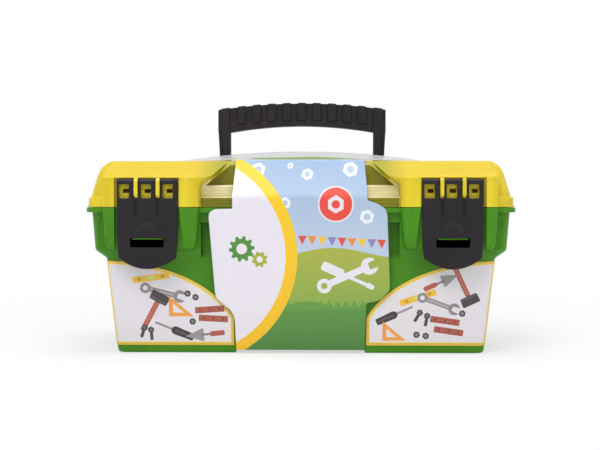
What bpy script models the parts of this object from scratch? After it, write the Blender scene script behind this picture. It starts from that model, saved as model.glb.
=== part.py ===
"""Toy tool box: a tub with a hinged lid, two latches, a folding carry handle, a card wrap and two stickers.

Lengths are in metres and +Z is up. The origin lies on the floor under the middle of the box,
+X runs along the box and -Y is its front. Every place below is worked out from the named sizes.
"""

import math

import bmesh
import bpy
from mathutils import Vector

MM = 0.001

# Sizes that the whole box shares
RIM_LENGTH = 350 * MM
RIM_DEPTH = 160 * MM
FIT_GAP = 0.3 * MM
OVERRUN = 6 * MM
WALL = 2.4 * MM
CORNER_STEPS = 6
ROUND_STEPS = 24
SHARP_ANGLE = math.radians(32)

# Tub
TUB_HEIGHT = 119.5 * MM
TUB_RIM_HEIGHT = 4 * MM
TUB_RIM_CORNER = 12 * MM
COLLAR_HEIGHT = 31 * MM
COLLAR_SHOULDER_HEIGHT = 6.5 * MM
COLLAR_TOP_INSET = 4.5 * MM
COLLAR_BASE_INSET = 7 * MM
COLLAR_CORNER = 9 * MM
BODY_TOP_INSET = 16.3 * MM
BODY_TOP_FRONT_INSET = 8 * MM
BODY_BASE_INSET = 24.5 * MM
BODY_BASE_FRONT_INSET = 13 * MM
BODY_CORNER = 6 * MM
BASE_ROUND = 3.5 * MM
BASE_ROUND_STEPS = 4
FOOT_HEIGHT = 2.5 * MM
FOOT_GAP = 106 * MM
FRONT_RECESS_TOP_DROP = 12 * MM

# Bosses that stand out at the front of the lid and the tub on both sides of each latch
BOSS_INNER_CHEEK = 16.7 * MM
BOSS_OUTER_CHEEK = 11.4 * MM
BOSS_PROUD = 6 * MM
BOSS_DROP = 34 * MM
BOSS_SLANT = 5.5 * MM
BOSS_CHAMFER = 5 * MM
BOSS_ROOT = 12 * MM
CHANNEL_DEPTH = 3 * MM

# Lid
LID_HEIGHT = 37.7 * MM
LID_FLANGE_HEIGHT = 8 * MM
LID_FLANGE_INSET = 1 * MM
LID_BASE_INSET = 3.5 * MM
LID_BASE_FRONT_INSET = 5.5 * MM
LID_WAIST_DROP = 12 * MM
LID_WAIST_INSET = 9 * MM
LID_WAIST_FRONT_INSET = 6 * MM
LID_SHOULDER_DROP = 5.2 * MM
LID_SHOULDER_INSET = 10.8 * MM
LID_SHOULDER_FRONT_INSET = 12.5 * MM
LID_TOP_INSET = 17 * MM
LID_TOP_FRONT_INSET = 18 * MM
LID_CORNER = 8 * MM
LID_TOP_CORNER = 7 * MM
BROW_DROP = 13.1 * MM
BROW_START_DROP = 20 * MM
BROW_LEAN = 9.5 * MM
BROW_TOP_LEAN = 23 * MM
NICHE_BASE_HEIGHT = 17.5 * MM
NICHE_TOP_DROP = 2.5 * MM
NICHE_SIDE_GAP = 1.5 * MM
NICHE_TOP_LEAN = 20.5 * MM
NICHE_BACK_INSET = 14 * MM

# Handle and the tray in the lid that it folds into
HANDLE_SPAN = 146 * MM
HANDLE_RISE = 57.8 * MM
HANDLE_SAG = 5.5 * MM
HANDLE_PIVOT_DROP = 6 * MM
LEG_WIDTH = 10.8 * MM
LEG_TAPER = 2 * MM
GRIP_THICKNESS = 19.7 * MM
HANDLE_DEPTH = 11.6 * MM
HANDLE_EDGE = 2.5 * MM
HANDLE_OUTER_CORNER = 2 * MM
HANDLE_INNER_CORNER = 1.2 * MM
RIB_WIDTH = 7.4 * MM
RIB_PITCH = 13.1 * MM
RIB_PROUD = 0.7 * MM
RIBS_EACH_SIDE = 4
LEG_STEPS = 3
PIVOT_RADIUS = 3 * MM
PIVOT_LENGTH = 3.4 * MM
TRAY_SIDE_GAP = 1.4 * MM
TRAY_FRONT_GAP = 1.6 * MM
TRAY_BACK_GAP = 1.2 * MM
TRAY_FLOOR_GAP = 1.4 * MM

# Lid hinge at the back
HINGE_END_DISTANCE = 71 * MM
KNUCKLE_RADIUS = 5 * MM
KNUCKLE_LENGTH = 15 * MM
KNUCKLE_GAP = 0.6 * MM
KNUCKLE_ROOT = 5 * MM
PIN_RADIUS = 1.5 * MM
KNUCKLE_WEB_SHARE = 0.6

# Latches
LATCH_END_DISTANCE = 52.5 * MM
LATCH_WIDTH = 49 * MM
LATCH_SIDE_GAP = 0.8 * MM
LATCH_PROUD = 2 * MM
LATCH_TOP_GAP = 2 * MM
LATCH_LENGTH = 72.5 * MM
LATCH_BOTTOM_SAG = 9 * MM
LATCH_BAR_RADIUS = 2.2 * MM
LATCH_THICKNESS = 3.2 * MM
LATCH_TAPER_START = 18 * MM
LATCH_TAPER = 1.2 * MM
LATCH_ARC_STEPS = 10
LATCH_PIN_RADIUS = 1.4 * MM
FINGER_GAP = 4 * MM
FINGER_LENGTH = 15.6 * MM
WINDOW_WIDTH = 9 * MM
WINDOW_TOP_DROP = 4.3 * MM
GROOVE_WIDTH = 1.6 * MM
GROOVE_DEPTH = 1 * MM
GROOVE_LENGTH = 15 * MM
BUMP_DROP = 39 * MM
BUMP_RADIUS = 11 * MM
BUMP_PROUD = 2 * MM
BUMP_SUNK_SHARE = 0.3
SLOT_DROP = 47.2 * MM
SLOT_HEIGHT = 7.8 * MM
SLOT_WIDTH = 27 * MM
TONGUE_HEIGHT = 2.6 * MM
TONGUE_SIDE_GAP = 1 * MM
TONGUE_LENGTH = 3.6 * MM
CLIP_RADIUS = 3.1 * MM
CLIP_SIDE_GAP = 0.4 * MM
CLIP_ROOT = 3 * MM
LUG_HOLE_WIDTH = 4.6 * MM
LUG_HOLE_HEIGHT = 3.2 * MM
LUG_HOLE_DEPTH = 1.4 * MM
LUG_HOLE_DROP = 9.6 * MM

# Card wrap
CARD = 0.9 * MM
CARD_GAP = 0.5 * MM
CARD_WAIST_GAP = 1.8 * MM
CARD_CREASE_OUT = 1.8 * MM
CARD_BEND_GAP = 1.9 * MM
CARD_CREASE_GAP = 0.6 * MM
CARD_SIDE_GAP = 6.5 * MM
CARD_BEND_STEP = 26 * MM
CARD_CREASE_STEP = 28 * MM
CARD_BULGE = 9 * MM
CARD_ARM_WIDTH = 33 * MM
CARD_WINDOW_GAP = 1.2 * MM
CARD_BOTTOM_Z = 3 * MM
CARD_BOTTOM_CLEARANCE = 1.6 * MM
CARD_TAIL_LENGTH = 7.5 * MM
CARD_ARM_SHARE = 0.86
CARD_CENTRE_STEPS = 12
CARD_ARM_STEPS = 3
# Edges of the front panel below its bend: shares of its half width and of its drop
CARD_LEFT_UPPER_SHARES = [(0.735, 0.075), (0.93, 0.078), (0.98, 0.095), (0.995, 0.125)]
CARD_LEFT_LOWER_SHARES = [(0.93, 0.655), (0.84, 0.7), (0.77, 0.735), (0.72, 0.785)]
CARD_RIGHT_UPPER_SHARES = [(0.735, 0.018), (0.785, 0.024), (0.86, 0.045), (0.934, 0.075), (0.952, 0.111)]
CARD_RIGHT_LOWER_SHARES = [(0.987, 0.606), (0.73, 0.69)]
CARD_FOOT_SHARE = 0.705
# The top panel from its crease to the window: how far back, extra half width and rise
CARD_TOP_SHARES = [(0.0, 0.0, 0.0), (0.33, 0.3, 0.4), (0.69, 0.65, 0.75), (1.0, 1.0, 0.95)]
# From the front of the window to its back: how far back, width of the arm beside it and rise
CARD_ARM_SHARES = [(0.25, 1.0, 0.8), (0.5, 0.86, 0.45), (0.75, 0.6, 0.15), (1.0, 0.2, 0.0)]

# Stickers
LABEL_THICKNESS = 0.5 * MM
LABEL_FOOT_INSET = 1 * MM
LABEL_OUTER_GAP = 1 * MM
LABEL_BASE_Z = 6.5 * MM
LABEL_TOP_GAP = 2.2 * MM
LABEL_ARC_OFFSET = 5.4 * MM
LABEL_ARC_SPARE = 6 * MM
LABEL_ARC_STEPS = 14

# Heights and depths that follow from the sizes above
RIM_FRONT = -RIM_DEPTH / 2
LID_BASE_Z = TUB_HEIGHT + FIT_GAP
LID_TOP_Z = LID_BASE_Z + LID_HEIGHT
BOSS_FRONT = RIM_FRONT - BOSS_PROUD
CHANNEL_FLOOR = BOSS_FRONT + CHANNEL_DEPTH
COLLAR_TOP_Z = TUB_HEIGHT - TUB_RIM_HEIGHT
COLLAR_BASE_Z = COLLAR_TOP_Z - COLLAR_HEIGHT
BODY_TOP_Z = COLLAR_BASE_Z - COLLAR_SHOULDER_HEIGHT
BODY_TOP_FRONT = RIM_FRONT + BODY_TOP_FRONT_INSET
BODY_BASE_FRONT = RIM_FRONT + BODY_BASE_FRONT_INSET
HINGE_Y = RIM_DEPTH / 2 + KNUCKLE_RADIUS
HINGE_Z = TUB_HEIGHT + FIT_GAP / 2
LATCH_FACE = BOSS_FRONT - LATCH_PROUD
FRONT = LATCH_FACE - BUMP_PROUD
LATCH_TOP_Z = LID_TOP_Z - BROW_DROP - LATCH_TOP_GAP
LATCH_X = RIM_LENGTH / 2 - LATCH_END_DISTANCE
HINGE_X = RIM_LENGTH / 2 - HINGE_END_DISTANCE
BOSS_INNER = LATCH_X - LATCH_WIDTH / 2 - LATCH_SIDE_GAP - BOSS_INNER_CHEEK
BOSS_OUTER = LATCH_X + LATCH_WIDTH / 2 + LATCH_SIDE_GAP + BOSS_OUTER_CHEEK
BROW_TOP_INNER = BOSS_INNER - BROW_TOP_LEAN
BROW_TOP_OUTER = RIM_LENGTH / 2 - LID_TOP_INSET
LATCH_AXIS_Y = LATCH_FACE + LATCH_BAR_RADIUS
LATCH_AXIS_Z = LATCH_TOP_Z - LATCH_BAR_RADIUS
HANDLE_PIVOT_Z = LID_TOP_Z - HANDLE_PIVOT_DROP
TRAY_HALF = HANDLE_SPAN / 2 + TRAY_SIDE_GAP
TRAY_FRONT = -HANDLE_DEPTH / 2 - TRAY_FRONT_GAP
TRAY_BACK = HANDLE_RISE + RIB_PROUD + TRAY_BACK_GAP
TRAY_FLOOR_Z = HANDLE_PIVOT_Z - HANDLE_DEPTH / 2 - RIB_PROUD - TRAY_FLOOR_GAP
LID_TOP_FRONT = RIM_FRONT + LID_TOP_FRONT_INSET
CREASE_Y = LID_TOP_FRONT - CARD_CREASE_OUT
CREASE_Z = LID_TOP_Z + CARD_GAP
CARD_FRONT_HALF = BOSS_INNER - CARD_SIDE_GAP
CARD_BEND_HALF = BOSS_INNER - CARD_BEND_STEP
CARD_CREASE_HALF = BOSS_INNER - CARD_CREASE_STEP
WINDOW_HALF = TRAY_HALF + CARD_WINDOW_GAP
CARD_WING_HALF = WINDOW_HALF + CARD_ARM_WIDTH


def clear_scene():
    for item in list(bpy.data.objects):
        bpy.data.objects.remove(item, do_unlink=True)


def plastic(name, colour, roughness, metallic=0.0, alpha=1.0):
    """A Principled material of one colour for one piece."""
    material = bpy.data.materials.new(name)
    material.use_nodes = True
    shader = material.node_tree.nodes["Principled BSDF"]
    shader.inputs["Base Color"].default_value = (*colour, 1.0)
    shader.inputs["Roughness"].default_value = roughness
    shader.inputs["Metallic"].default_value = metallic
    shader.inputs["Alpha"].default_value = alpha
    return material


def object_from(bm, name):
    """A linked object that owns the bmesh, with its faces pointing out."""
    bmesh.ops.recalc_face_normals(bm, faces=bm.faces)
    mesh = bpy.data.meshes.new(name)
    bm.to_mesh(mesh)
    bm.free()
    item = bpy.data.objects.new(name, mesh)
    bpy.context.scene.collection.objects.link(item)
    return item


def skin(rings, name):
    """A closed solid through rings of points, each with as many points as the next."""
    bm = bmesh.new()
    loops = [[bm.verts.new(point) for point in ring] for ring in rings]
    count = len(loops[0])
    for low, high in zip(loops, loops[1:]):
        for i in range(count):
            j = (i + 1) % count
            bm.faces.new((low[i], low[j], high[j], high[i]))
    bm.faces.new(loops[0])
    bm.faces.new(loops[-1])
    return object_from(bm, name)


def rounded_outline(length, depth, radius):
    """Points round a rectangle with rounded corners, centred on zero."""
    points = []
    radius = min(radius, length / 2, depth / 2)
    for corner in range(4):
        turn = corner * math.pi / 2
        side_x = 1 if corner in (0, 3) else -1
        side_y = 1 if corner in (0, 1) else -1
        centre_x = side_x * (length / 2 - radius)
        centre_y = side_y * (depth / 2 - radius)
        for step in range(CORNER_STEPS + 1):
            angle = turn + step * math.pi / 2 / CORNER_STEPS
            points.append((centre_x + radius * math.cos(angle), centre_y + radius * math.sin(angle)))
    return points


def shell_solid(levels, name):
    """A solid through levels of (height, inset at the ends, inset at front and back, corner)."""
    rings = []
    for height, end_inset, side_inset, corner in levels:
        outline = rounded_outline(RIM_LENGTH - 2 * end_inset, RIM_DEPTH - 2 * side_inset, corner)
        rings.append([(x, y, height) for x, y in outline])
    return skin(rings, name)


def block(low, high, name):
    """A box between two corners."""
    corners = [(low[0], low[1]), (high[0], low[1]), (high[0], high[1]), (low[0], high[1])]
    return skin([[(x, y, z) for x, y in corners] for z in (low[2], high[2])], name)


def slab_along_x(outline, start, stop, name):
    """A prism along X with an outline of (y, z) points."""
    return skin([[(x, y, z) for y, z in outline] for x in (start, stop)], name)


def slab_along_y(outline, start, stop, name):
    """A prism along Y with an outline of (x, z) points."""
    return skin([[(x, y, z) for x, z in outline] for y in (start, stop)], name)


def rod_along_x(y, z, radius, start, stop, name):
    """A round rod along X."""
    turns = [2 * math.pi * i / ROUND_STEPS for i in range(ROUND_STEPS)]
    outline = [(y + radius * math.cos(a), z + radius * math.sin(a)) for a in turns]
    return slab_along_x(outline, start, stop, name)


def half_circle(y, z, radius):
    """Points over the upper half of a circle, from its front to its back."""
    turns = [math.pi - 2 * math.pi * i / ROUND_STEPS for i in range(ROUND_STEPS // 2 + 1)]
    return [(y + radius * math.cos(a), z + radius * math.sin(a)) for a in turns]


def combine(target, tools, operation):
    """Cut the tools out of the target or join them to it, and remove them."""
    for tool in tools:
        change = target.modifiers.new(operation.lower(), "BOOLEAN")
        change.object = tool
        change.operation = operation
        change.solver = "EXACT"
        bpy.context.view_layer.update()
        shaped = target.evaluated_get(bpy.context.evaluated_depsgraph_get())
        mesh = bpy.data.meshes.new_from_object(shaped)
        target.modifiers.clear()
        target.data = mesh
        bpy.data.objects.remove(tool, do_unlink=True)
    return target


def cut(target, tools):
    return combine(target, tools, "DIFFERENCE")


def join(target, tools):
    return combine(target, tools, "UNION")


def finish_piece(item, material, origin=(0, 0, 0), smooth=True):
    """Give a piece its material, its shading and its origin."""
    item.data.materials.clear()
    item.data.materials.append(material)
    item.data.name = item.name
    if smooth:
        item.data.shade_smooth()
        item.data.set_sharp_from_angle(angle=SHARP_ANGLE)
    place = Vector(origin)
    for vertex in item.data.vertices:
        vertex.co -= place
    item.location = place
    return item


def tub_levels():
    """Outside of the tub from its floor to its rim."""
    levels = []
    for step in range(BASE_ROUND_STEPS + 1):
        angle = step * math.pi / 2 / BASE_ROUND_STEPS
        inset = BASE_ROUND * (1 - math.sin(angle))
        height = BASE_ROUND * (1 - math.cos(angle))
        levels.append((height, BODY_BASE_INSET + inset, BODY_BASE_FRONT_INSET + inset, BODY_CORNER))
    levels.append((BODY_TOP_Z, BODY_TOP_INSET, BODY_TOP_FRONT_INSET, BODY_CORNER))
    levels.append((COLLAR_BASE_Z, COLLAR_BASE_INSET, COLLAR_TOP_INSET, COLLAR_CORNER))
    levels.append((COLLAR_TOP_Z, COLLAR_TOP_INSET, COLLAR_TOP_INSET, COLLAR_CORNER))
    levels.append((COLLAR_TOP_Z, 0, 0, TUB_RIM_CORNER))
    levels.append((TUB_HEIGHT, 0, 0, TUB_RIM_CORNER))
    return levels


def tub_space():
    """The room inside the tub."""
    floor = FOOT_HEIGHT + WALL
    top_inset = COLLAR_TOP_INSET + WALL
    base_inset = COLLAR_BASE_INSET + WALL
    levels = [
        (floor, BODY_BASE_INSET + WALL, BODY_BASE_FRONT_INSET + WALL, BODY_CORNER - WALL),
        (BODY_TOP_Z + WALL, BODY_TOP_INSET + WALL, BODY_TOP_FRONT_INSET + WALL, BODY_CORNER - WALL),
        (COLLAR_BASE_Z + WALL, base_inset, top_inset, COLLAR_CORNER - WALL),
        (TUB_HEIGHT + OVERRUN, top_inset, top_inset, COLLAR_CORNER - WALL),
    ]
    space = shell_solid(levels, "tub_space")
    recess_half = BOSS_INNER + WALL
    recess_top = TUB_HEIGHT - FRONT_RECESS_TOP_DROP + WALL
    kept_wall = block(
        (-recess_half, FRONT, BODY_TOP_Z - WALL),
        (recess_half, BODY_TOP_FRONT + WALL, recess_top),
        "kept_wall",
    )
    cut(space, [kept_wall])
    pockets = [boss_pocket(side, TUB_HEIGHT - BOSS_DROP + 2 * WALL, TUB_HEIGHT + OVERRUN) for side in (-1, 1)]
    return join(space, pockets)


def boss_pocket(side, low_z, high_z):
    """The hollow behind one boss."""
    ends = sorted((side * (BOSS_INNER + BOSS_SLANT + WALL), side * (BOSS_OUTER - BOSS_SLANT - WALL)))
    front = CHANNEL_FLOOR + WALL
    return block((ends[0], front, low_z), (ends[1], front + BOSS_ROOT, high_z), "boss_pocket")


def tub_boss(side):
    """One boss of the tub, seen from the front as a block with slanted sides and cut corners."""
    low = TUB_HEIGHT - BOSS_DROP
    inner_low = BOSS_INNER + BOSS_SLANT
    outer_low = BOSS_OUTER - BOSS_SLANT / 2
    outline = [
        (BOSS_INNER, TUB_HEIGHT),
        (inner_low, low + BOSS_CHAMFER),
        (inner_low + BOSS_CHAMFER, low),
        (outer_low - BOSS_CHAMFER, low),
        (outer_low, low + BOSS_CHAMFER),
        (BOSS_OUTER, TUB_HEIGHT),
    ]
    outline = [(side * x, z) for x, z in outline]
    return slab_along_y(outline, BOSS_FRONT, BOSS_FRONT + BOSS_ROOT, "tub_boss")


def latch_channel(side, low_z, high_z):
    """The slot between two bosses that a latch lies in."""
    half = LATCH_WIDTH / 2 + LATCH_SIDE_GAP
    return block(
        (side * LATCH_X - half, FRONT - OVERRUN, low_z),
        (side * LATCH_X + half, CHANNEL_FLOOR, high_z),
        "latch_channel",
    )


def latch_tongue(side):
    """The tongue of the tub that stands in the slot of a closed latch."""
    half = SLOT_WIDTH / 2 - TONGUE_SIDE_GAP
    top = LATCH_TOP_Z - SLOT_DROP - FIT_GAP
    return block(
        (side * LATCH_X - half, CHANNEL_FLOOR - TONGUE_LENGTH, top - TONGUE_HEIGHT),
        (side * LATCH_X + half, CHANNEL_FLOOR + WALL / 2, top),
        "latch_tongue",
    )


def knuckle_ends(place):
    """The X ends of a knuckle that stands this many places from the middle of its hinge."""
    start = place * KNUCKLE_LENGTH - KNUCKLE_LENGTH / 2 + KNUCKLE_GAP / 2
    return start, start + KNUCKLE_LENGTH - KNUCKLE_GAP


def hinge_knuckle(side, place, above):
    """One knuckle with the web that joins it to the flange above or below the axis."""
    start, stop = (side * HINGE_X + end for end in knuckle_ends(place))
    knuckle = rod_along_x(HINGE_Y, HINGE_Z, KNUCKLE_RADIUS, start, stop, "knuckle")
    way = 1 if above else -1
    near = HINGE_Z + way * FIT_GAP / 2
    far = HINGE_Z + way * KNUCKLE_RADIUS * KNUCKLE_WEB_SHARE
    low, high = sorted((near, far))
    web = block((start, HINGE_Y - KNUCKLE_RADIUS - KNUCKLE_ROOT, low), (stop, HINGE_Y, high), "web")
    return join(knuckle, [web])


def hinge_relief(side, place):
    """Room for a knuckle of the other piece to turn in."""
    start, stop = (side * HINGE_X + end for end in knuckle_ends(place))
    reach = KNUCKLE_RADIUS + KNUCKLE_GAP
    return rod_along_x(HINGE_Y, HINGE_Z, reach, start - KNUCKLE_GAP, stop + KNUCKLE_GAP, "relief")


def hinge_bore(side):
    """The hole for a hinge pin through all the knuckles of one hinge."""
    reach = 3 * KNUCKLE_LENGTH / 2 + OVERRUN
    middle = side * HINGE_X
    return rod_along_x(HINGE_Y, HINGE_Z, PIN_RADIUS + FIT_GAP, middle - reach, middle + reach, "bore")


def make_tub():
    tub = shell_solid(tub_levels(), "tub")
    join(tub, [tub_boss(side) for side in (-1, 1)])
    recess = block(
        (-BOSS_INNER, FRONT, BODY_TOP_Z),
        (BOSS_INNER, BODY_TOP_FRONT, TUB_HEIGHT - FRONT_RECESS_TOP_DROP),
        "recess",
    )
    arch = block(
        (-FOOT_GAP / 2, -RIM_DEPTH, -OVERRUN),
        (FOOT_GAP / 2, RIM_DEPTH, FOOT_HEIGHT),
        "arch",
    )
    channels = [latch_channel(side, 0, TUB_HEIGHT + OVERRUN) for side in (-1, 1)]
    cut(tub, [recess, arch, tub_space(), *channels])
    cut(tub, [hinge_relief(side, 0) for side in (-1, 1)])
    join(tub, [latch_tongue(side) for side in (-1, 1)])
    join(tub, [hinge_knuckle(side, place, False) for side in (-1, 1) for place in (-1, 1)])
    cut(tub, [hinge_bore(side) for side in (-1, 1)])
    return finish_piece(tub, plastic("green_plastic", (0.07, 0.32, 0.03), 0.35))


def lid_levels(inset):
    """Outside of the lid for an inset of zero, and its inside for an inset of one wall."""
    top = LID_TOP_Z - inset
    return [
        (LID_BASE_Z + LID_FLANGE_HEIGHT, LID_BASE_INSET + inset, LID_BASE_FRONT_INSET + inset, LID_CORNER),
        (
            LID_TOP_Z - LID_WAIST_DROP - inset / 2,
            LID_WAIST_INSET + inset,
            LID_WAIST_FRONT_INSET + inset,
            LID_CORNER,
        ),
        (
            LID_TOP_Z - LID_SHOULDER_DROP - inset / 2,
            LID_SHOULDER_INSET + inset,
            LID_SHOULDER_FRONT_INSET + inset,
            LID_CORNER,
        ),
        (top, LID_TOP_INSET + inset, LID_TOP_FRONT_INSET + inset, LID_TOP_CORNER),
    ]


def lid_boss(side):
    """One boss of the lid with the sloping brow above it, as a solid through four levels."""
    levels = [
        (LID_BASE_Z, BOSS_INNER, BOSS_OUTER, BOSS_FRONT),
        (LID_TOP_Z - BROW_START_DROP, BOSS_INNER, BOSS_OUTER, BOSS_FRONT),
        (LID_TOP_Z - BROW_DROP, BOSS_INNER - BROW_LEAN, BOSS_OUTER, BOSS_FRONT),
        (LID_TOP_Z, BROW_TOP_INNER, BROW_TOP_OUTER, LID_TOP_FRONT),
    ]
    back = LID_TOP_FRONT + WALL
    rings = []
    for z, inner, outer, front in levels:
        corners = [(inner, front), (outer, front), (outer, back), (inner, back)]
        rings.append([(side * x, y, z) for x, y in corners])
    return skin(rings, "lid_boss")


def niche(extra, depth_extra):
    """The hollow in the middle of the lid's front, grown by an extra wall where one is given."""
    base = LID_BASE_Z + NICHE_BASE_HEIGHT - extra
    top = LID_TOP_Z - NICHE_TOP_DROP + extra
    base_half = BOSS_INNER - NICHE_SIDE_GAP + extra
    top_half = BOSS_INNER - NICHE_TOP_LEAN + extra
    outline = [(-base_half, base), (base_half, base), (top_half, top), (-top_half, top)]
    return slab_along_y(outline, FRONT - OVERRUN, RIM_FRONT + NICHE_BACK_INSET + depth_extra, "niche")


def handle_tray(extra):
    """The tray that the folded handle lies in, grown by an extra wall where one is given."""
    return block(
        (-TRAY_HALF - extra, TRAY_FRONT - extra, TRAY_FLOOR_Z - extra),
        (TRAY_HALF + extra, TRAY_BACK + extra, LID_TOP_Z + OVERRUN),
        "handle_tray",
    )


def lid_space():
    """The room inside the lid."""
    levels = lid_levels(WALL)
    base = (LID_BASE_Z - OVERRUN, LID_BASE_INSET + WALL, LID_BASE_FRONT_INSET + WALL, LID_CORNER)
    space = shell_solid([base, *levels], "lid_space")
    cut(space, [niche(WALL, WALL), handle_tray(WALL)])
    pockets = [boss_pocket(side, LID_BASE_Z - OVERRUN, LID_TOP_Z - BROW_START_DROP) for side in (-1, 1)]
    return join(space, pockets)


def latch_clips(side):
    """The two ribs of the lid that a latch's rod turns in, with a round nose about its axis."""
    clips = []
    half = FINGER_GAP / 2 - CLIP_SIDE_GAP
    base = LATCH_TOP_Z - FINGER_LENGTH
    root = CHANNEL_FLOOR + CLIP_ROOT
    nose = half_circle(LATCH_AXIS_Y, LATCH_AXIS_Z, CLIP_RADIUS)
    foot = [(root, base), (LATCH_AXIS_Y, base), (nose[0][0], base + CLIP_RADIUS)]
    outline = [*foot, *nose, (root, LATCH_AXIS_Z)]
    for x in finger_gaps(side):
        clips.append(slab_along_x(outline, x - half, x + half, "clip"))
    return clips


def finger_width():
    return (LATCH_WIDTH - 2 * FINGER_GAP) / 3


def finger_gaps(side):
    """X of the middles of the two gaps between a latch's three fingers."""
    step = (finger_width() + FINGER_GAP) / 2
    return [side * LATCH_X - step, side * LATCH_X + step]


def finger_middles(side):
    step = finger_width() + FINGER_GAP
    return [side * LATCH_X + place * step for place in (-1, 0, 1)]


def lug_holes(side):
    """The square holes in the lid behind a latch's windows."""
    middle = LATCH_TOP_Z - LUG_HOLE_DROP
    holes = []
    for x in finger_middles(side):
        low = (x - LUG_HOLE_WIDTH / 2, FRONT, middle - LUG_HOLE_HEIGHT / 2)
        high = (x + LUG_HOLE_WIDTH / 2, CHANNEL_FLOOR + LUG_HOLE_DEPTH, middle + LUG_HOLE_HEIGHT / 2)
        holes.append(block(low, high, "lug_hole"))
    return holes


def clip_bore(side):
    """The hole through both ribs that a latch's rod turns in."""
    return latch_rod(side, LATCH_PIN_RADIUS + FIT_GAP, "bore")


def latch_rod(side, radius, name):
    """A rod on a latch's axis from the middle of its first finger to the middle of its last."""
    half = LATCH_WIDTH / 2 - finger_width() / 2
    middle = side * LATCH_X
    return rod_along_x(LATCH_AXIS_Y, LATCH_AXIS_Z, radius, middle - half, middle + half, name)


def make_lid():
    flange = [
        (LID_BASE_Z, LID_FLANGE_INSET, 0, TUB_RIM_CORNER),
        (LID_BASE_Z + LID_FLANGE_HEIGHT, LID_FLANGE_INSET, 0, TUB_RIM_CORNER),
    ]
    lid = shell_solid([*flange, *lid_levels(0)], "lid")
    join(lid, [lid_boss(side) for side in (-1, 1)])
    socket = rod_along_x(
        0,
        HANDLE_PIVOT_Z,
        PIVOT_RADIUS + FIT_GAP,
        -TRAY_HALF - WALL - OVERRUN,
        TRAY_HALF + WALL + OVERRUN,
        "socket",
    )
    cut(lid, [niche(0, 0), lid_space(), handle_tray(0), socket])
    channel_top = LATCH_TOP_Z + LATCH_TOP_GAP / 2
    cut(lid, [latch_channel(side, LID_BASE_Z - OVERRUN, channel_top) for side in (-1, 1)])
    for side in (-1, 1):
        join(lid, latch_clips(side))
        cut(lid, [clip_bore(side), *lug_holes(side)])
        cut(lid, [hinge_relief(side, place) for place in (-1, 1)])
        join(lid, [hinge_knuckle(side, 0, True)])
        cut(lid, [hinge_bore(side)])
    colour = plastic("yellow_plastic", (0.87, 0.6, 0.03), 0.25, alpha=0.85)
    return finish_piece(lid, colour, (0, HINGE_Y, HINGE_Z))


def make_hinge_pin(side, name):
    """The pin of one hinge, which ends flush with the outer knuckles."""
    reach = 3 * KNUCKLE_LENGTH / 2 - KNUCKLE_GAP / 2
    pin = rod_along_x(HINGE_Y, HINGE_Z, PIN_RADIUS, side * HINGE_X - reach, side * HINGE_X + reach, name)
    return finish_piece(pin, plastic(name + "_steel", (0.55, 0.55, 0.55), 0.3, 1.0))


def latch_outline(side):
    """Front view of a latch: straight sides and a bottom that sags as an arc."""
    half = LATCH_WIDTH / 2
    corner_z = LATCH_TOP_Z - LATCH_LENGTH + LATCH_BOTTOM_SAG
    points = [(half, LATCH_TOP_Z + OVERRUN), (-half, LATCH_TOP_Z + OVERRUN)]
    for step in range(LATCH_ARC_STEPS + 1):
        share = step / LATCH_ARC_STEPS * 2 - 1
        points.append((share * (half - LATCH_TAPER), corner_z - LATCH_BOTTOM_SAG * (1 - share**2)))
    points.insert(2, (-half, corner_z + LATCH_TAPER_START))
    points.append((half, corner_z + LATCH_TAPER_START))
    return [(side * LATCH_X + x, z) for x, z in points]


def latch_profile():
    """Side view of a latch: a round bar at the top and a thinner plate below it."""
    finger_base = LATCH_TOP_Z - FINGER_LENGTH
    below = LATCH_TOP_Z - LATCH_LENGTH - OVERRUN
    plate_back = LATCH_FACE + LATCH_THICKNESS
    return [
        (LATCH_FACE, below),
        *half_circle(LATCH_AXIS_Y, LATCH_AXIS_Z, LATCH_BAR_RADIUS),
        (LATCH_FACE + 2 * LATCH_BAR_RADIUS, finger_base),
        (plate_back, finger_base - LATCH_BAR_RADIUS),
        (plate_back, below),
    ]


def latch_bump(side):
    """The low round bump on the face of a latch."""
    bm = bmesh.new()
    bmesh.ops.create_uvsphere(bm, u_segments=ROUND_STEPS, v_segments=ROUND_STEPS // 2, radius=1.0)
    depth = BUMP_PROUD / (1 - BUMP_SUNK_SHARE)
    for vertex in bm.verts:
        vertex.co = (
            side * LATCH_X + vertex.co.x * BUMP_RADIUS,
            FRONT + depth + vertex.co.z * depth,
            LATCH_TOP_Z - BUMP_DROP + vertex.co.y * BUMP_RADIUS,
        )
    return object_from(bm, "bump")


def through_cut(x, width, low_z, high_z, depth, name):
    """A cutter that goes this deep into a latch from its face."""
    return block((x - width / 2, FRONT - OVERRUN, low_z), (x + width / 2, LATCH_FACE + depth, high_z), name)


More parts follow.
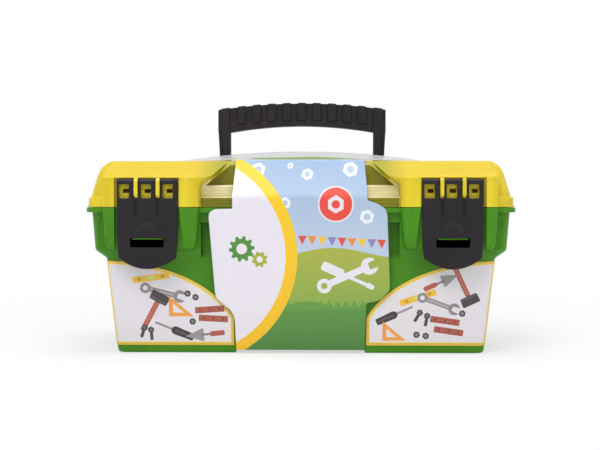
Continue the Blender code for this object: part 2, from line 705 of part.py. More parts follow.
def make_latch(side, name):
    half = LATCH_WIDTH / 2
    middle = side * LATCH_X
    through = 2 * LATCH_BAR_RADIUS + OVERRUN
    finger_base = LATCH_TOP_Z - FINGER_LENGTH
    latch = slab_along_x(latch_profile(), middle - half - OVERRUN, middle + half + OVERRUN, name)
    front = slab_along_y(latch_outline(side), FRONT - OVERRUN, CHANNEL_FLOOR + OVERRUN, "front")
    combine(latch, [front], "INTERSECT")
    groove_base = finger_base - GROOVE_LENGTH
    groove_top = finger_base + GROOVE_WIDTH
    window_top = LATCH_TOP_Z - WINDOW_TOP_DROP
    above = LATCH_TOP_Z + OVERRUN
    for x in finger_gaps(side):
        gap = through_cut(x, FINGER_GAP, finger_base, above, through, "gap")
        groove = through_cut(x, GROOVE_WIDTH, groove_base, groove_top, GROOVE_DEPTH, "groove")
        cut(latch, [gap, groove])
    for x in finger_middles(side):
        cut(latch, [through_cut(x, WINDOW_WIDTH, finger_base, window_top, through, "window")])
    join(latch, [latch_rod(side, LATCH_PIN_RADIUS, "rod"), latch_bump(side)])
    slot_top = LATCH_TOP_Z - SLOT_DROP
    cut(latch, [through_cut(middle, SLOT_WIDTH, slot_top - SLOT_HEIGHT, slot_top, through, "slot")])
    colour = plastic(name + "_plastic", (0.03, 0.025, 0.032), 0.4)
    return finish_piece(latch, colour, (middle, LATCH_AXIS_Y, LATCH_AXIS_Z))


def handle_ring(outer, inner, raised):
    """One cross section of the handle between an outer and an inner point, as (x, z)."""
    proud = RIB_PROUD if raised else 0
    outer = Vector(outer)
    inner = Vector(inner)
    across = (outer - inner).normalized()
    middle = (outer + inner) / 2
    length = (outer - inner).length + 2 * proud
    ring = []
    for u, v in rounded_outline(length, HANDLE_DEPTH + 2 * proud, HANDLE_EDGE):
        place = middle + across * u
        ring.append((place.x, v, HANDLE_PIVOT_Z + place.y))
    return ring


def grip_points(x):
    """Outer and inner point of the grip at x, above the pivot."""
    half = HANDLE_SPAN / 2
    outer = HANDLE_RISE - HANDLE_SAG * (x / half) ** 2
    inner = HANDLE_RISE - GRIP_THICKNESS - HANDLE_SAG * (x / (half - LEG_WIDTH)) ** 2
    return (x, outer), (x, inner)


def handle_rings():
    """Cross sections from the left foot over the grip to the right foot."""
    half = HANDLE_SPAN / 2
    inner_half = half - LEG_WIDTH
    start_x = -(inner_half - HANDLE_INNER_CORNER)
    outer_start, inner_start = grip_points(start_x)
    outer_corner_x = -half + HANDLE_OUTER_CORNER
    outer_corner_z = grip_points(outer_corner_x)[0][1]
    leg_top = inner_start[1] - HANDLE_INNER_CORNER
    left = []
    for step in range(LEG_STEPS + 1):
        share = step / LEG_STEPS
        z = leg_top * share
        left.append(handle_ring((-half + LEG_TAPER * (1 - share), z), (-inner_half, z), False))
    for step in range(1, CORNER_STEPS + 1):
        angle = step * math.pi / 2 / CORNER_STEPS
        outer = (
            outer_corner_x - HANDLE_OUTER_CORNER * math.cos(angle),
            outer_corner_z - HANDLE_OUTER_CORNER + HANDLE_OUTER_CORNER * math.sin(angle),
        )
        inner = (
            start_x - HANDLE_INNER_CORNER * math.cos(angle),
            inner_start[1] - HANDLE_INNER_CORNER + HANDLE_INNER_CORNER * math.sin(angle),
        )
        left.append(handle_ring(outer, inner, False))
    grip = []
    for place in range(-RIBS_EACH_SIDE, RIBS_EACH_SIDE + 1):
        for x, raised in (
            (place * RIB_PITCH - RIB_WIDTH / 2, False),
            (place * RIB_PITCH - RIB_WIDTH / 2, True),
            (place * RIB_PITCH + RIB_WIDTH / 2, True),
            (place * RIB_PITCH + RIB_WIDTH / 2, False),
        ):
            grip.append(handle_ring(*grip_points(x), raised))
    right = [[(-x, y, z) for x, y, z in ring] for ring in reversed(left)]
    return [*left, *grip, *right]


def make_handle():
    handle = skin(handle_rings(), "handle")
    feet = []
    half = HANDLE_SPAN / 2
    for side in (-1, 1):
        ends = sorted((side * (half - LEG_WIDTH), side * (half - LEG_TAPER)))
        feet.append(rod_along_x(0, HANDLE_PIVOT_Z, HANDLE_DEPTH / 2, ends[0], ends[1], "foot"))
        ends = sorted((side * (half - LEG_WIDTH / 2), side * (half + PIVOT_LENGTH)))
        feet.append(rod_along_x(0, HANDLE_PIVOT_Z, PIVOT_RADIUS, ends[0], ends[1], "pivot"))
    join(handle, feet)
    return finish_piece(handle, plastic("handle_plastic", (0.035, 0.03, 0.038), 0.45), (0, 0, HANDLE_PIVOT_Z))


def sheet_object(rows_of_faces, outward, name):
    """A sheet from lists of corner points, welded, with the board's thickness on its outer side."""
    bm = bmesh.new()
    known = {}

    def vertex(point):
        key = tuple(round(c / FIT_GAP, 2) for c in point)
        if key not in known:
            known[key] = bm.verts.new(point)
        return known[key]

    for corners in rows_of_faces:
        bm.faces.new([vertex(point) for point in corners])
    bmesh.ops.recalc_face_normals(bm, faces=bm.faces)
    bm.faces.ensure_lookup_table()
    if bm.faces[0].normal.dot(Vector(outward)) < 0:
        bmesh.ops.reverse_faces(bm, faces=bm.faces)
    bmesh.ops.solidify(bm, geom=bm.faces[:], thickness=-CARD)
    return object_from(bm, name)


def card_top_rows():
    """Rows of the top panel from its crease to its tail over the back edge: (y, half width, rise, height)."""
    rows = []
    window_front = TRAY_FRONT - CARD_WINDOW_GAP
    window_back = TRAY_BACK + FIT_GAP
    start_y = CREASE_Y + CARD_CREASE_GAP
    for depth_share, width_share, rise_share in CARD_TOP_SHARES:
        y = start_y + (window_front - start_y) * depth_share
        half = CARD_CREASE_HALF + (CARD_WING_HALF - CARD_CREASE_HALF) * width_share
        rows.append((y, half, CARD_BULGE * rise_share, CREASE_Z))
    for depth_share, width_share, rise_share in CARD_ARM_SHARES:
        y = window_front + (window_back - window_front) * depth_share
        rows.append((y, WINDOW_HALF + CARD_ARM_WIDTH * width_share, CARD_BULGE * rise_share, CREASE_Z))
    back = -LID_TOP_FRONT + CARD_GAP
    slope = Vector((LID_TOP_FRONT_INSET - LID_SHOULDER_FRONT_INSET, -LID_SHOULDER_DROP))
    tail = slope.normalized() * CARD_TAIL_LENGTH
    half = rows[-1][1]
    rows.append((back, half, 0, CREASE_Z))
    rows.append((back + tail.x, half, 0, CREASE_Z + tail.y))
    return rows


def make_sleeve_top():
    """The top panel of the wrap, which bulges over the lid and has a window for the handle."""
    centre_shares = [2 * i / CARD_CENTRE_STEPS - 1 for i in range(CARD_CENTRE_STEPS + 1)]
    rows = card_top_rows()
    front_rows = len(CARD_TOP_SHARES)
    points = []
    for index, (y, half, rise, base) in enumerate(rows):
        inner = WINDOW_HALF if index >= front_rows - 1 else half * CARD_ARM_SHARE
        arm = [inner + (half - inner) * i / CARD_ARM_STEPS for i in range(1, CARD_ARM_STEPS + 1)]
        xs = [-x for x in reversed(arm)] + [inner * share for share in centre_shares] + arm
        row = []
        for x in xs:
            lift = rise * max(0.0, 1 - (x / CARD_WING_HALF) ** 2)
            row.append((x, y, base + lift))
        points.append(row)
    faces = []
    open_rows = range(front_rows - 1, front_rows - 1 + len(CARD_ARM_SHARES))
    open_columns = range(CARD_ARM_STEPS, CARD_ARM_STEPS + CARD_CENTRE_STEPS)
    for r, (near, far) in enumerate(zip(points, points[1:])):
        for i in range(len(near) - 1):
            if r in open_rows and i in open_columns:
                continue
            faces.append((near[i], near[i + 1], far[i + 1], far[i]))
    top = sheet_object(faces, (0, 0, 1), "sleeve_top")
    return finish_piece(top, plastic("card_top", (0.8, 0.78, 0.78), 0.5))


def card_front_faces():
    """The front panel in three planes: crease to waist, waist to bend, and bend to foot."""
    bend_y = RIM_FRONT - CARD_BEND_GAP
    bend_z = LID_BASE_Z + LID_FLANGE_HEIGHT
    waist_y = RIM_FRONT + LID_BASE_FRONT_INSET - CARD_WAIST_GAP
    waist_z = LID_BASE_Z + NICHE_BASE_HEIGHT
    foot_y = BODY_BASE_FRONT - CARD_BOTTOM_CLEARANCE
    upper = Vector((waist_y - CREASE_Y, waist_z - CREASE_Z))
    start = upper.normalized() * CARD_CREASE_GAP
    top = (CREASE_Y + start.x, CREASE_Z + start.y)
    drop = bend_z - CARD_BOTTOM_Z
    waist_half = (CARD_CREASE_HALF + CARD_BEND_HALF) / 2

    def lower(half, share):
        return (half, bend_y + (foot_y - bend_y) * share, bend_z - drop * share)

    left_shares = [*CARD_LEFT_UPPER_SHARES, *CARD_LEFT_LOWER_SHARES]
    right_shares = [*CARD_RIGHT_UPPER_SHARES, *CARD_RIGHT_LOWER_SHARES]
    left = [lower(-CARD_FRONT_HALF * width, share) for width, share in left_shares]
    right = [lower(CARD_FRONT_HALF * width, share) for width, share in right_shares]
    foot = CARD_FRONT_HALF * CARD_FOOT_SHARE
    upper_face = [
        (-CARD_CREASE_HALF, *top),
        (CARD_CREASE_HALF, *top),
        (waist_half, waist_y, waist_z),
        (-waist_half, waist_y, waist_z),
    ]
    waist_face = [
        (-waist_half, waist_y, waist_z),
        (waist_half, waist_y, waist_z),
        (CARD_BEND_HALF, bend_y, bend_z),
        (-CARD_BEND_HALF, bend_y, bend_z),
    ]
    lower_face = [
        (-CARD_BEND_HALF, bend_y, bend_z),
        (CARD_BEND_HALF, bend_y, bend_z),
        *right,
        lower(foot, 1),
        lower(-foot, 1),
        *reversed(left),
    ]
    return [upper_face, waist_face, lower_face]


def make_sleeve_front():
    """The front panel of the wrap, which hangs from the crease at the top front of the lid."""
    front = sheet_object(card_front_faces(), (0, -1, 0), "sleeve_front")
    colour = plastic("card_front", (0.75, 0.75, 0.8), 0.45)
    return finish_piece(front, colour, (0, CREASE_Y, CREASE_Z), smooth=False)


def wall_point(x, z, proud):
    """A point over the tub's lower front wall, this far out from it."""
    share = (z - BASE_ROUND) / (BODY_TOP_Z - BASE_ROUND)
    lean = Vector((BODY_BASE_FRONT - BODY_TOP_FRONT, BODY_TOP_Z - BASE_ROUND)).normalized()
    y = BODY_BASE_FRONT + (BODY_TOP_FRONT - BODY_BASE_FRONT) * share
    return (x, y - proud * lean.y, z - proud * lean.x)


def label_outline():
    """Half of the stickers, on the right: an upright inner edge and an arc that rises to the end."""
    top = BODY_TOP_Z - LABEL_TOP_GAP
    rise = top - LABEL_BASE_Z
    outer_top = RIM_LENGTH / 2 - BODY_TOP_INSET - BODY_CORNER + LABEL_OUTER_GAP
    outer_base = RIM_LENGTH / 2 - BODY_BASE_INSET - BODY_CORNER + LABEL_OUTER_GAP
    inner = FOOT_GAP / 2 + LABEL_FOOT_INSET
    centre = outer_top + LABEL_ARC_OFFSET
    reach = centre - inner + LABEL_ARC_SPARE
    start = math.acos((centre - inner) / reach)
    stop = math.acos(LABEL_ARC_OFFSET / reach)
    points = [(outer_base, LABEL_BASE_Z), (inner, LABEL_BASE_Z)]
    for step in range(LABEL_ARC_STEPS + 1):
        angle = start + (stop - start) * step / LABEL_ARC_STEPS
        points.append((centre - reach * math.cos(angle), LABEL_BASE_Z + rise * math.sin(angle)))
    return points


def make_label(side, name):
    """A sticker on the flat part of the tub's lower front wall."""
    rings = []
    for proud in (FIT_GAP, FIT_GAP + LABEL_THICKNESS):
        rings.append([wall_point(side * x, z, proud) for x, z in label_outline()])
    return finish_piece(skin(rings, name), plastic(name + "_paper", (0.85, 0.83, 0.84), 0.35), smooth=False)


def main():
    clear_scene()
    make_tub()
    make_lid()
    make_handle()
    for side, word in ((-1, "left"), (1, "right")):
        make_latch(side, f"latch_{word}")
        make_hinge_pin(side, f"hinge_pin_{word}")
        make_label(side, f"label_{word}")
    make_sleeve_top()
    make_sleeve_front()


main()
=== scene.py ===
"""Toy tool box, dressed for a plain studio picture.

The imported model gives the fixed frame: a tub, a hinged lid, two latches, a folding handle, a card
wrap and two stickers. Each class below builds one sub-assembly in metres in that frame, with +X
along the box, -Y towards its front and +Z up, and dresses it in its own finish.
"""

import logging
import math
from collections.abc import Callable, Iterable, Sequence
from dataclasses import dataclass, field
from enum import Enum

import bmesh
import bpy
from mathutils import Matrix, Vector
from mathutils.bvhtree import BVHTree
from mathutils.geometry import delaunay_2d_cdt


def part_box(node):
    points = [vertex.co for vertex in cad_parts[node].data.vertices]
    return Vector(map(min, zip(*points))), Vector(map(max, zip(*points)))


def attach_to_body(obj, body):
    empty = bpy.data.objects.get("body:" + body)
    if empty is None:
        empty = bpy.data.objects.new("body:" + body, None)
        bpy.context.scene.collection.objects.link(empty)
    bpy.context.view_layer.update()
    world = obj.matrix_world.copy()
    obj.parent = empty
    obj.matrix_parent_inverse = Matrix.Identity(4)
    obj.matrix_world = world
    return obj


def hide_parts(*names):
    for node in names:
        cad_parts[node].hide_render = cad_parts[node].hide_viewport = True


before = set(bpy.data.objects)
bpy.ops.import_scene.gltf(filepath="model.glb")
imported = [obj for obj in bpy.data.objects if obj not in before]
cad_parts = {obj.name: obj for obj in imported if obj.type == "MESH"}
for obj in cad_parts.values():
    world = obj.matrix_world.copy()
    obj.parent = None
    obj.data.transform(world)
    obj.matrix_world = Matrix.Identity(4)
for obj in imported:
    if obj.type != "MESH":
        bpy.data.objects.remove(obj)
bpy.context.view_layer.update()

MM = 0.001
SIDES = (-1, 1)
SIDE_WORDS = {-1: "left", 1: "right"}
# How far a cutting tool reaches past what it cuts.
OVERRUN = 6 * MM
PICTURE_WIDTH = 600
# Points nearer than these are taken as one, after and before the rounding of edges.
TOUCH = 0.01 * MM
MERGE_GAP = 0.02 * MM
# Edges that turn less than the first angle are dropped, those over the second are rounded,
# and those over the third stay sharp in the shading.
FLAT_TURN = math.radians(0.5)
SHARP_TURN = math.radians(32)
CREASE_TURN = math.radians(50)
# Of a rounding's width: how wide the faces beside it have to be, and how far its points may move.
ROOM_SHARE = 1.6
STRAY_SHARE = 0.7

Flat = tuple[float, float]
Point = tuple[float, float, float]
Rows = Sequence[Sequence[float]]
Curve = Callable[[float], float]
Item = bpy.types.Object
Socket = bpy.types.NodeSocket
log = logging.getLogger("tool box")


class Plane(Enum):
    """The plane that an outline is drawn in, and the way it is extruded."""

    FRONT = "x and z, along y"
    SIDE = "y and z, along x"
    PLAN = "x and y, along z"

    def point(self, u: float, v: float, depth: float) -> Point:
        """A point of the outline at a depth."""
        if self is Plane.FRONT:
            return (u, depth, v)
        if self is Plane.SIDE:
            return (depth, u, v)
        return (u, v, depth)


class Join(Enum):
    """How a tool changes the solid that it meets."""

    ADD = "UNION"
    CUT = "DIFFERENCE"
    KEEP = "INTERSECT"


@dataclass(frozen=True)
class Layout:
    """Sizes and places that several pieces share."""

    half_length: float
    lid_top: float
    latch_x: float
    latch_half: float
    latch_top: float
    latch_foot: float
    half_depth: float = 80 * MM
    rim_corner: float = 12 * MM
    wall: float = 2.4 * MM
    seam: float = 119.5 * MM
    seam_gap: float = 0.3 * MM
    body_top: float = 78 * MM
    body_corner: float = 6 * MM
    body_top_inset: float = 16.3 * MM
    body_base_inset: float = 24.5 * MM
    front_top_inset: float = 8 * MM
    front_base_inset: float = 13 * MM
    boss_front: float = -86 * MM
    channel_floor: float = -83 * MM
    channel_gap: float = 0.8 * MM
    channel_outer_gap: float = 2 * MM
    boss_inner: float = 80.5 * MM
    boss_outer: float = 159.2 * MM
    finger_gap: float = 4 * MM
    finger_length: float = 15.6 * MM
    hinge_x: float = 104 * MM
    hinge_y: float = 85 * MM
    knuckle_radius: float = 5 * MM
    knuckle_length: float = 15 * MM
    knuckle_gap: float = 0.6 * MM
    pin_radius: float = 1.5 * MM
    pocket_inset: float = 5.5 * MM
    pocket_depth: float = 12 * MM
    pocket_corner: float = 2 * MM

    @classmethod
    def from_frame(cls) -> "Layout":
        """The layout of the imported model."""
        low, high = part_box("latch_right")
        return cls(
            half_length=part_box("tub")[1].x,
            lid_top=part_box("lid")[1].z,
            latch_x=(low.x + high.x) / 2,
            latch_half=(high.x - low.x) / 2,
            latch_top=high.z,
            latch_foot=low.z,
        )

    @property
    def lid_base(self) -> float:
        """Height of the lid's lower face."""
        return self.seam + self.seam_gap

    @property
    def hinge_z(self) -> float:
        """Height of the lid's hinge axis."""
        return self.seam + self.seam_gap / 2

    @property
    def finger_width(self) -> float:
        """Width of each of the three fingers of a latch."""
        return (2 * self.latch_half - 2 * self.finger_gap) / 3

    def finger_middles(self, side: int) -> list[float]:
        """X of the middles of a latch's fingers."""
        step = self.finger_width + self.finger_gap
        return [side * self.latch_x + place * step for place in (-1, 0, 1)]

    def gap_middles(self, side: int) -> list[float]:
        """X of the middles of the gaps between a latch's fingers."""
        step = (self.finger_width + self.finger_gap) / 2
        return [side * self.latch_x - step, side * self.latch_x + step]

    def channel(self, side: int, low: float, high: float) -> Item:
        """The slot that a latch lies in, with a wider gap at its outer side."""
        inner = side * (self.latch_x - self.latch_half - self.channel_gap)
        outer = side * (self.latch_x + self.latch_half + self.channel_outer_gap)
        ends = sorted((inner, outer))
        return block((ends[0], self.boss_front - 2 * OVERRUN, low), (ends[1], self.channel_floor, high))

    def pocket(self, side: int, low: float, high: float) -> Item:
        """The hollow behind a boss."""
        spare = self.pocket_inset + self.wall
        ends = sorted((side * (self.boss_inner + spare), side * (self.boss_outer - spare)))
        front = self.channel_floor + self.wall
        return block((ends[0], front, low), (ends[1], front + self.pocket_depth, high), self.pocket_corner)

    def slab(self, low: float, high: float) -> Item:
        """A slab over the whole box between two heights, to trim a moulding flat."""
        reach_x = self.half_length + OVERRUN
        reach_y = self.half_depth + 3 * OVERRUN
        return block((-reach_x, -reach_y, low), (reach_x, reach_y, high))


def linear(code: str) -> tuple[float, float, float]:
    """A colour written as six hexadecimal digits, as linear red, green and blue."""
    parts = [int(code[i : i + 2], 16) / 255 for i in (0, 2, 4)]
    return tuple(p / 12.92 if p <= 0.04045 else ((p + 0.055) / 1.055) ** 2.4 for p in parts)


def eased(corners: Rows, radii: Sequence[float], steps: int = 4) -> list[tuple[float, ...]]:
    """A path with rounded corners.

    Args:
        corners: Points of any dimension, the same for all.
        radii: For each corner, how far from it its curve starts; zero keeps it sharp.
        steps: Spans in each curve.

    Returns:
        The points of the path, with its first and last corner as they are.
    """
    path = [tuple(corners[0])]
    for before, corner, after, radius in zip(corners, corners[1:], corners[2:], radii[1:]):
        if radius <= 0:
            path.append(tuple(corner))
            continue
        ends = []
        for other in (before, after):
            share = min(0.5, radius / math.dist(corner, other))
            ends.append([c + (o - c) * share for c, o in zip(corner, other)])
        for step in range(steps + 1):
            t = step / steps
            weights = ((1 - t) ** 2, 2 * t * (1 - t), t * t)
            trios = zip(ends[0], corner, ends[1])
            path.append(tuple(sum(w * p for w, p in zip(weights, trio)) for trio in trios))
    path.append(tuple(corners[-1]))
    return path


def rounded_polygon(corners: Sequence[Flat], radii: Sequence[float] | float, steps: int = 4) -> list[Flat]:
    """A closed outline with rounded corners."""
    if isinstance(radii, float):
        radii = [radii] * len(corners)
    middle = tuple((a + b) / 2 for a, b in zip(corners[0], corners[-1]))
    return eased([middle, *corners, middle], [0, *radii, 0], steps)[:-1]


def rectangle(
    low_u: float, high_u: float, low_v: float, high_v: float, radius: float, steps: int = 4
) -> list[Flat]:
    """A rectangle with rounded corners, anticlockwise."""
    corners = [(low_u, low_v), (high_u, low_v), (high_u, high_v), (low_u, high_v)]
    return rounded_polygon(corners, float(radius), steps) if radius else corners


def circle(u: float, v: float, radius: float, steps: int = 32, start: float = 0.0) -> list[Flat]:
    """Points round a circle, anticlockwise."""
    turns = [start + 2 * math.pi * i / steps for i in range(steps)]
    return [(u + radius * math.cos(a), v + radius * math.sin(a)) for a in turns]


def object_from(name: str, bm: bmesh.types.BMesh) -> Item:
    """A linked object that owns the mesh, with its faces pointing out."""
    bmesh.ops.recalc_face_normals(bm, faces=bm.faces)
    mesh = bpy.data.meshes.new(name)
    bm.to_mesh(mesh)
    bm.free()
    item = bpy.data.objects.new(name, mesh)
    bpy.context.scene.collection.objects.link(item)
    return item


def loft(name: str, rings: Sequence[Sequence[Point]]) -> Item:
    """A closed solid through rings that have as many points each."""
    bm = bmesh.new()
    loops = [[bm.verts.new(point) for point in ring] for ring in rings]
    count = len(loops[0])
    for near, far in zip(loops, loops[1:]):
        for i in range(count):
            j = (i + 1) % count
            bm.faces.new((near[i], near[j], far[j], far[i]))
    bm.faces.new(loops[0])
    bm.faces.new(loops[-1])
    return object_from(name, bm)


def prism(name: str, plane: Plane, outline: Sequence[Flat], start: float, stop: float) -> Item:
    """A solid with the same outline from start to stop."""
    return loft(name, [[plane.point(u, v, depth) for u, v in outline] for depth in (start, stop)])


def block(low: Point, high: Point, radius: float = 0.0) -> Item:
    """A box between two corners, with upright edges of a radius."""
    return prism("block", Plane.PLAN, rectangle(low[0], high[0], low[1], high[1], radius), low[2], high[2])


def bead(low: Point, high: Point, chamfer: float = 0.2 * MM) -> Item:
    """A raised line on a front wall: a box between two corners with chamfered front edges."""
    rings = []
    for y, inset in ((high[1], 0.0), (low[1] + chamfer, 0.0), (low[1], chamfer)):
        ring = rectangle(low[0] + inset, high[0] - inset, low[2] + inset, high[2] - inset, 0)
        rings.append([(x, y, z) for x, z in ring])
    return loft("bead", rings)


def rod(y: float, z: float, radius: float, start: float, stop: float) -> Item:
    """A round rod along X."""
    return prism("rod", Plane.SIDE, circle(y, z, radius), start, stop)


def shape(target: Item, join: Join, tools: Iterable[Item]) -> Item:
    """Change a solid with tools, which are used up."""
    for tool in tools:
        change = target.modifiers.new(join.name, "BOOLEAN")
        change.object = tool
        change.operation = join.value
        change.solver = "EXACT"
        bpy.context.view_layer.update()
        shaped = target.evaluated_get(bpy.context.evaluated_depsgraph_get())
        mesh = bpy.data.meshes.new_from_object(shaped)
        target.modifiers.clear()
        target.data = mesh
        bpy.data.objects.remove(tool, do_unlink=True)
    return target


def round_edges(
    item: Item, radius: float, chosen: Callable[[Vector, Vector], bool], steps: int = 3
) -> Item:
    """Round the edges that a test of their two ends chooses."""
    bm = bmesh.new()
    bm.from_mesh(item.data)
    edges = [edge for edge in bm.edges if chosen(edge.verts[0].co, edge.verts[1].co)]
    bmesh.ops.bevel(bm, geom=edges, offset=radius, segments=steps, profile=0.5, affect="EDGES")
    bm.to_mesh(item.data)
    bm.free()
    return item


def is_roomy(edge: bmesh.types.BMEdge, width: float, angle: float) -> bool:
    """Whether an edge is sharp and its two faces are wide enough to take a rounding."""
    if len(edge.link_faces) != 2 or edge.calc_face_angle(0.0) < angle:
        return False
    return all(face.calc_area() > ROOM_SHARE * width * edge.calc_length() for face in edge.link_faces)


def attach(item: Item, details: Iterable[Item]) -> None:
    """Make small closed solids part of an object's mesh, and use them up."""
    bm = bmesh.new()
    bm.from_mesh(item.data)
    for detail in details:
        bm.from_mesh(detail.data)
        bpy.data.objects.remove(detail)
    bm.to_mesh(item.data)
    bm.free()


def soften(item: Item, width: float, details: Iterable[Item] = ()) -> Item:
    """Give a moulding the fine rounding of its edges, then its fine details and smooth shading.

    Args:
        item: The solid, with sharp edges.
        width: How far each rounding reaches from its edge.
        details: Small solids that are joined to it after the rounding and used up.

    Returns:
        The same object.
    """
    bm = bmesh.new()
    bm.from_mesh(item.data)
    bmesh.ops.remove_doubles(bm, verts=bm.verts, dist=MERGE_GAP)
    bmesh.ops.dissolve_limit(bm, angle_limit=FLAT_TURN, verts=bm.verts, edges=bm.edges)
    sharp = BVHTree.FromBMesh(bm)
    edges = [edge for edge in bm.edges if is_roomy(edge, width, SHARP_TURN)]
    bmesh.ops.bevel(bm, geom=edges, offset=width, segments=2, profile=0.5, affect="EDGES", miter_outer="ARC")
    for vertex in bm.verts:
        spot, _, _, gap = sharp.find_nearest(vertex.co)
        if gap > STRAY_SHARE * width:
            vertex.co = spot
    bmesh.ops.remove_doubles(bm, verts=bm.verts, dist=TOUCH)
    bm.to_mesh(item.data)
    bm.free()
    attach(item, details)
    item.data.shade_smooth()
    item.data.set_sharp_from_angle(angle=CREASE_TURN)
    normals = item.modifiers.new("even shading", "WEIGHTED_NORMAL")
    normals.keep_sharp = True
    normals.weight = 80
    return item


class Graph:
    """Short ways to add and join the nodes of one material."""

    def __init__(self, name: str) -> None:
        """Start a material that has a Principled shader alone."""
        self.material = bpy.data.materials.new(name)
        self.material.use_nodes = True
        self.tree = self.material.node_tree
        self.shader = self.tree.nodes["Principled BSDF"]
        self.place = self.add("ShaderNodeTexCoord").outputs["Object"]

    def add(self, kind: str, **settings: object) -> bpy.types.Node:
        """A new node with its settings."""
        node = self.tree.nodes.new(kind)
        for key, value in settings.items():
            setattr(node, key, value)
        return node

    def join(self, source: Socket, target: Socket) -> None:
        """A link from one socket to another."""
        self.tree.links.new(source, target)

    def noise(self, scale: float, detail: float = 3.0, stretch: Point = (1, 1, 1)) -> Socket:
        """Noise with this many features in a metre, stretched along the axes."""
        mapping = self.add("ShaderNodeMapping")
        mapping.inputs["Scale"].default_value = stretch
        self.join(self.place, mapping.inputs["Vector"])
        noise = self.add("ShaderNodeTexNoise")
        noise.inputs["Scale"].default_value = scale
        noise.inputs["Detail"].default_value = detail
        self.join(mapping.outputs["Vector"], noise.inputs["Vector"])
        return noise.outputs["Fac"]

    def spread(self, value: Socket, low: float, high: float, start: float = 0.3, stop: float = 0.7) -> Socket:
        """The value between start and stop, brought to between low and high."""
        node = self.add("ShaderNodeMapRange")
        for key, number in (("From Min", start), ("From Max", stop), ("To Min", low), ("To Max", high)):
            node.inputs[key].default_value = number
        self.join(value, node.inputs["Value"])
        return node.outputs["Result"]

    def blend(self, share: Socket, first: object, second: object, mode: str = "MIX") -> Socket:
        """A mix of two colours, each a socket or red, green and blue."""
        node = self.add("ShaderNodeMix", data_type="RGBA", blend_type=mode)
        self.join(share, node.inputs["Factor"])
        for key, colour in (("A", first), ("B", second)):
            socket = next(s for s in node.inputs if s.name == key and s.type == "RGBA")
            if isinstance(colour, Socket):
                self.join(colour, socket)
            else:
                socket.default_value = (*colour, 1.0)
        return next(s for s in node.outputs if s.type == "RGBA")

    def raise_surface(self, heights: Iterable[tuple[Socket, float]]) -> None:
        """Bump the surface by several heights, each with its depth in metres."""
        normal = None
        for height, depth in heights:
            bump = self.add("ShaderNodeBump")
            bump.inputs["Distance"].default_value = depth
            self.join(height, bump.inputs["Height"])
            if normal:
                self.join(normal, bump.inputs["Normal"])
            normal = bump.outputs["Normal"]
        self.join(normal, self.shader.inputs["Normal"])

    def set(self, **values: object) -> None:
        """Constant values of the shader's own sockets, with underscores for spaces."""
        for key, value in values.items():
            self.shader.inputs[key.replace("_", " ")].default_value = value


@dataclass(frozen=True)
class Moulded:
    """An injection-moulded plastic with a fine grain, flow marks, scuffs and rubbed edges, and, where given,
    a painted shade: a dark olive over the middle of the front for the shaded inside seen through the plastic.
    """

    name: str
    colour: str
    shade: str
    roughness: float
    grain: float = 1500.0
    grain_depth: float = 0.02 * MM
    rub: float = 0.25
    alpha: float = 1.0
    glow: float = 0.0
    coat: float = 0.0
    flow: float = 14.0
    flow_stretch: Point = (1, 1, 1)
    ior: float = 1.42
    painted_shade: str = ""
    painted_shade_half: Flat = (62 * MM, 86 * MM)
    painted_shade_back: Flat = (-66 * MM, -56 * MM)

    def material(self) -> bpy.types.Material:
        """The finish as a material."""
        graph = Graph(self.name)
        clouds = graph.spread(graph.noise(self.flow, 4.0, self.flow_stretch), 0.0, 1.0)
        tone = graph.blend(clouds, linear(self.colour), linear(self.shade))
        # Painted shade: the middle of the front takes a dark olive for the shaded inside seen through the
        # plastic.
        if self.painted_shade:
            tone = graph.blend(self.unpainted_share(graph), linear(self.painted_shade), tone)
        edges = graph.add("ShaderNodeNewGeometry").outputs["Pointiness"]
        rubbed = graph.spread(edges, 0.0, self.rub, 0.53, 0.62)
        pale = [min(1.0, c * 1.6 + 0.04) for c in linear(self.colour)]
        graph.join(graph.blend(rubbed, tone, pale), graph.shader.inputs["Base Color"])
        scuffs = graph.noise(55.0, 2.0, (1.0, 1.0, 0.25))
        spread = graph.spread(scuffs, self.roughness - 0.08, self.roughness + 0.1, 0.0, 1.0)
        graph.join(spread, graph.shader.inputs["Roughness"])
        graph.raise_surface([(graph.noise(self.grain, 2.0), self.grain_depth)])
        graph.set(IOR=self.ior, Alpha=self.alpha, Coat_Weight=self.coat, Coat_Roughness=0.2)
        if self.glow:
            reach = (1.0, 0.7, 0.15)
            graph.set(Subsurface_Weight=self.glow, Subsurface_Radius=reach, Subsurface_Scale=6 * MM)
        return graph.material

    def unpainted_share(self, graph: Graph) -> Socket:
        """How far a spot lies outside the middle front area that gets the painted shade of the dark inside
        behind the plastic.
        """
        axes = graph.add("ShaderNodeSeparateXYZ")
        graph.join(graph.place, axes.inputs["Vector"])
        across = graph.add("ShaderNodeMath", operation="ABSOLUTE")
        graph.join(axes.outputs["X"], across.inputs[0])
        most = graph.add("ShaderNodeMath", operation="MAXIMUM")
        graph.join(graph.spread(across.outputs["Value"], 0.0, 1.0, *self.painted_shade_half), most.inputs[0])
        graph.join(graph.spread(axes.outputs["Y"], 0.0, 1.0, *self.painted_shade_back), most.inputs[1])
        return most.outputs["Value"]


@dataclass(frozen=True)
class Printed:
    """Coated board or sticker paper that shows its inks, with fine fibres under the coat."""

    name: str
    roughness: float
    coat: float

    def material(self) -> bpy.types.Material:
        """The finish as a material."""
        graph = Graph(self.name)
        ink = graph.add("ShaderNodeAttribute", attribute_name=PrintedSheet.INK).outputs["Color"]
        fibres = graph.spread(graph.noise(420.0, 5.0), 0.0, 0.05)
        graph.join(graph.blend(fibres, ink, linear("8F8B86"), "MULTIPLY"), graph.shader.inputs["Base Color"])
        sheen = graph.spread(graph.noise(60.0, 4.0), self.roughness - 0.05, self.roughness + 0.08)
        graph.join(sheen, graph.shader.inputs["Roughness"])
        graph.raise_surface([(graph.noise(900.0, 3.0), 0.004 * MM), (graph.noise(18.0, 1.0), 0.06 * MM)])
        graph.set(Coat_Weight=self.coat, Coat_Roughness=0.25, IOR=1.46)
        return graph.material


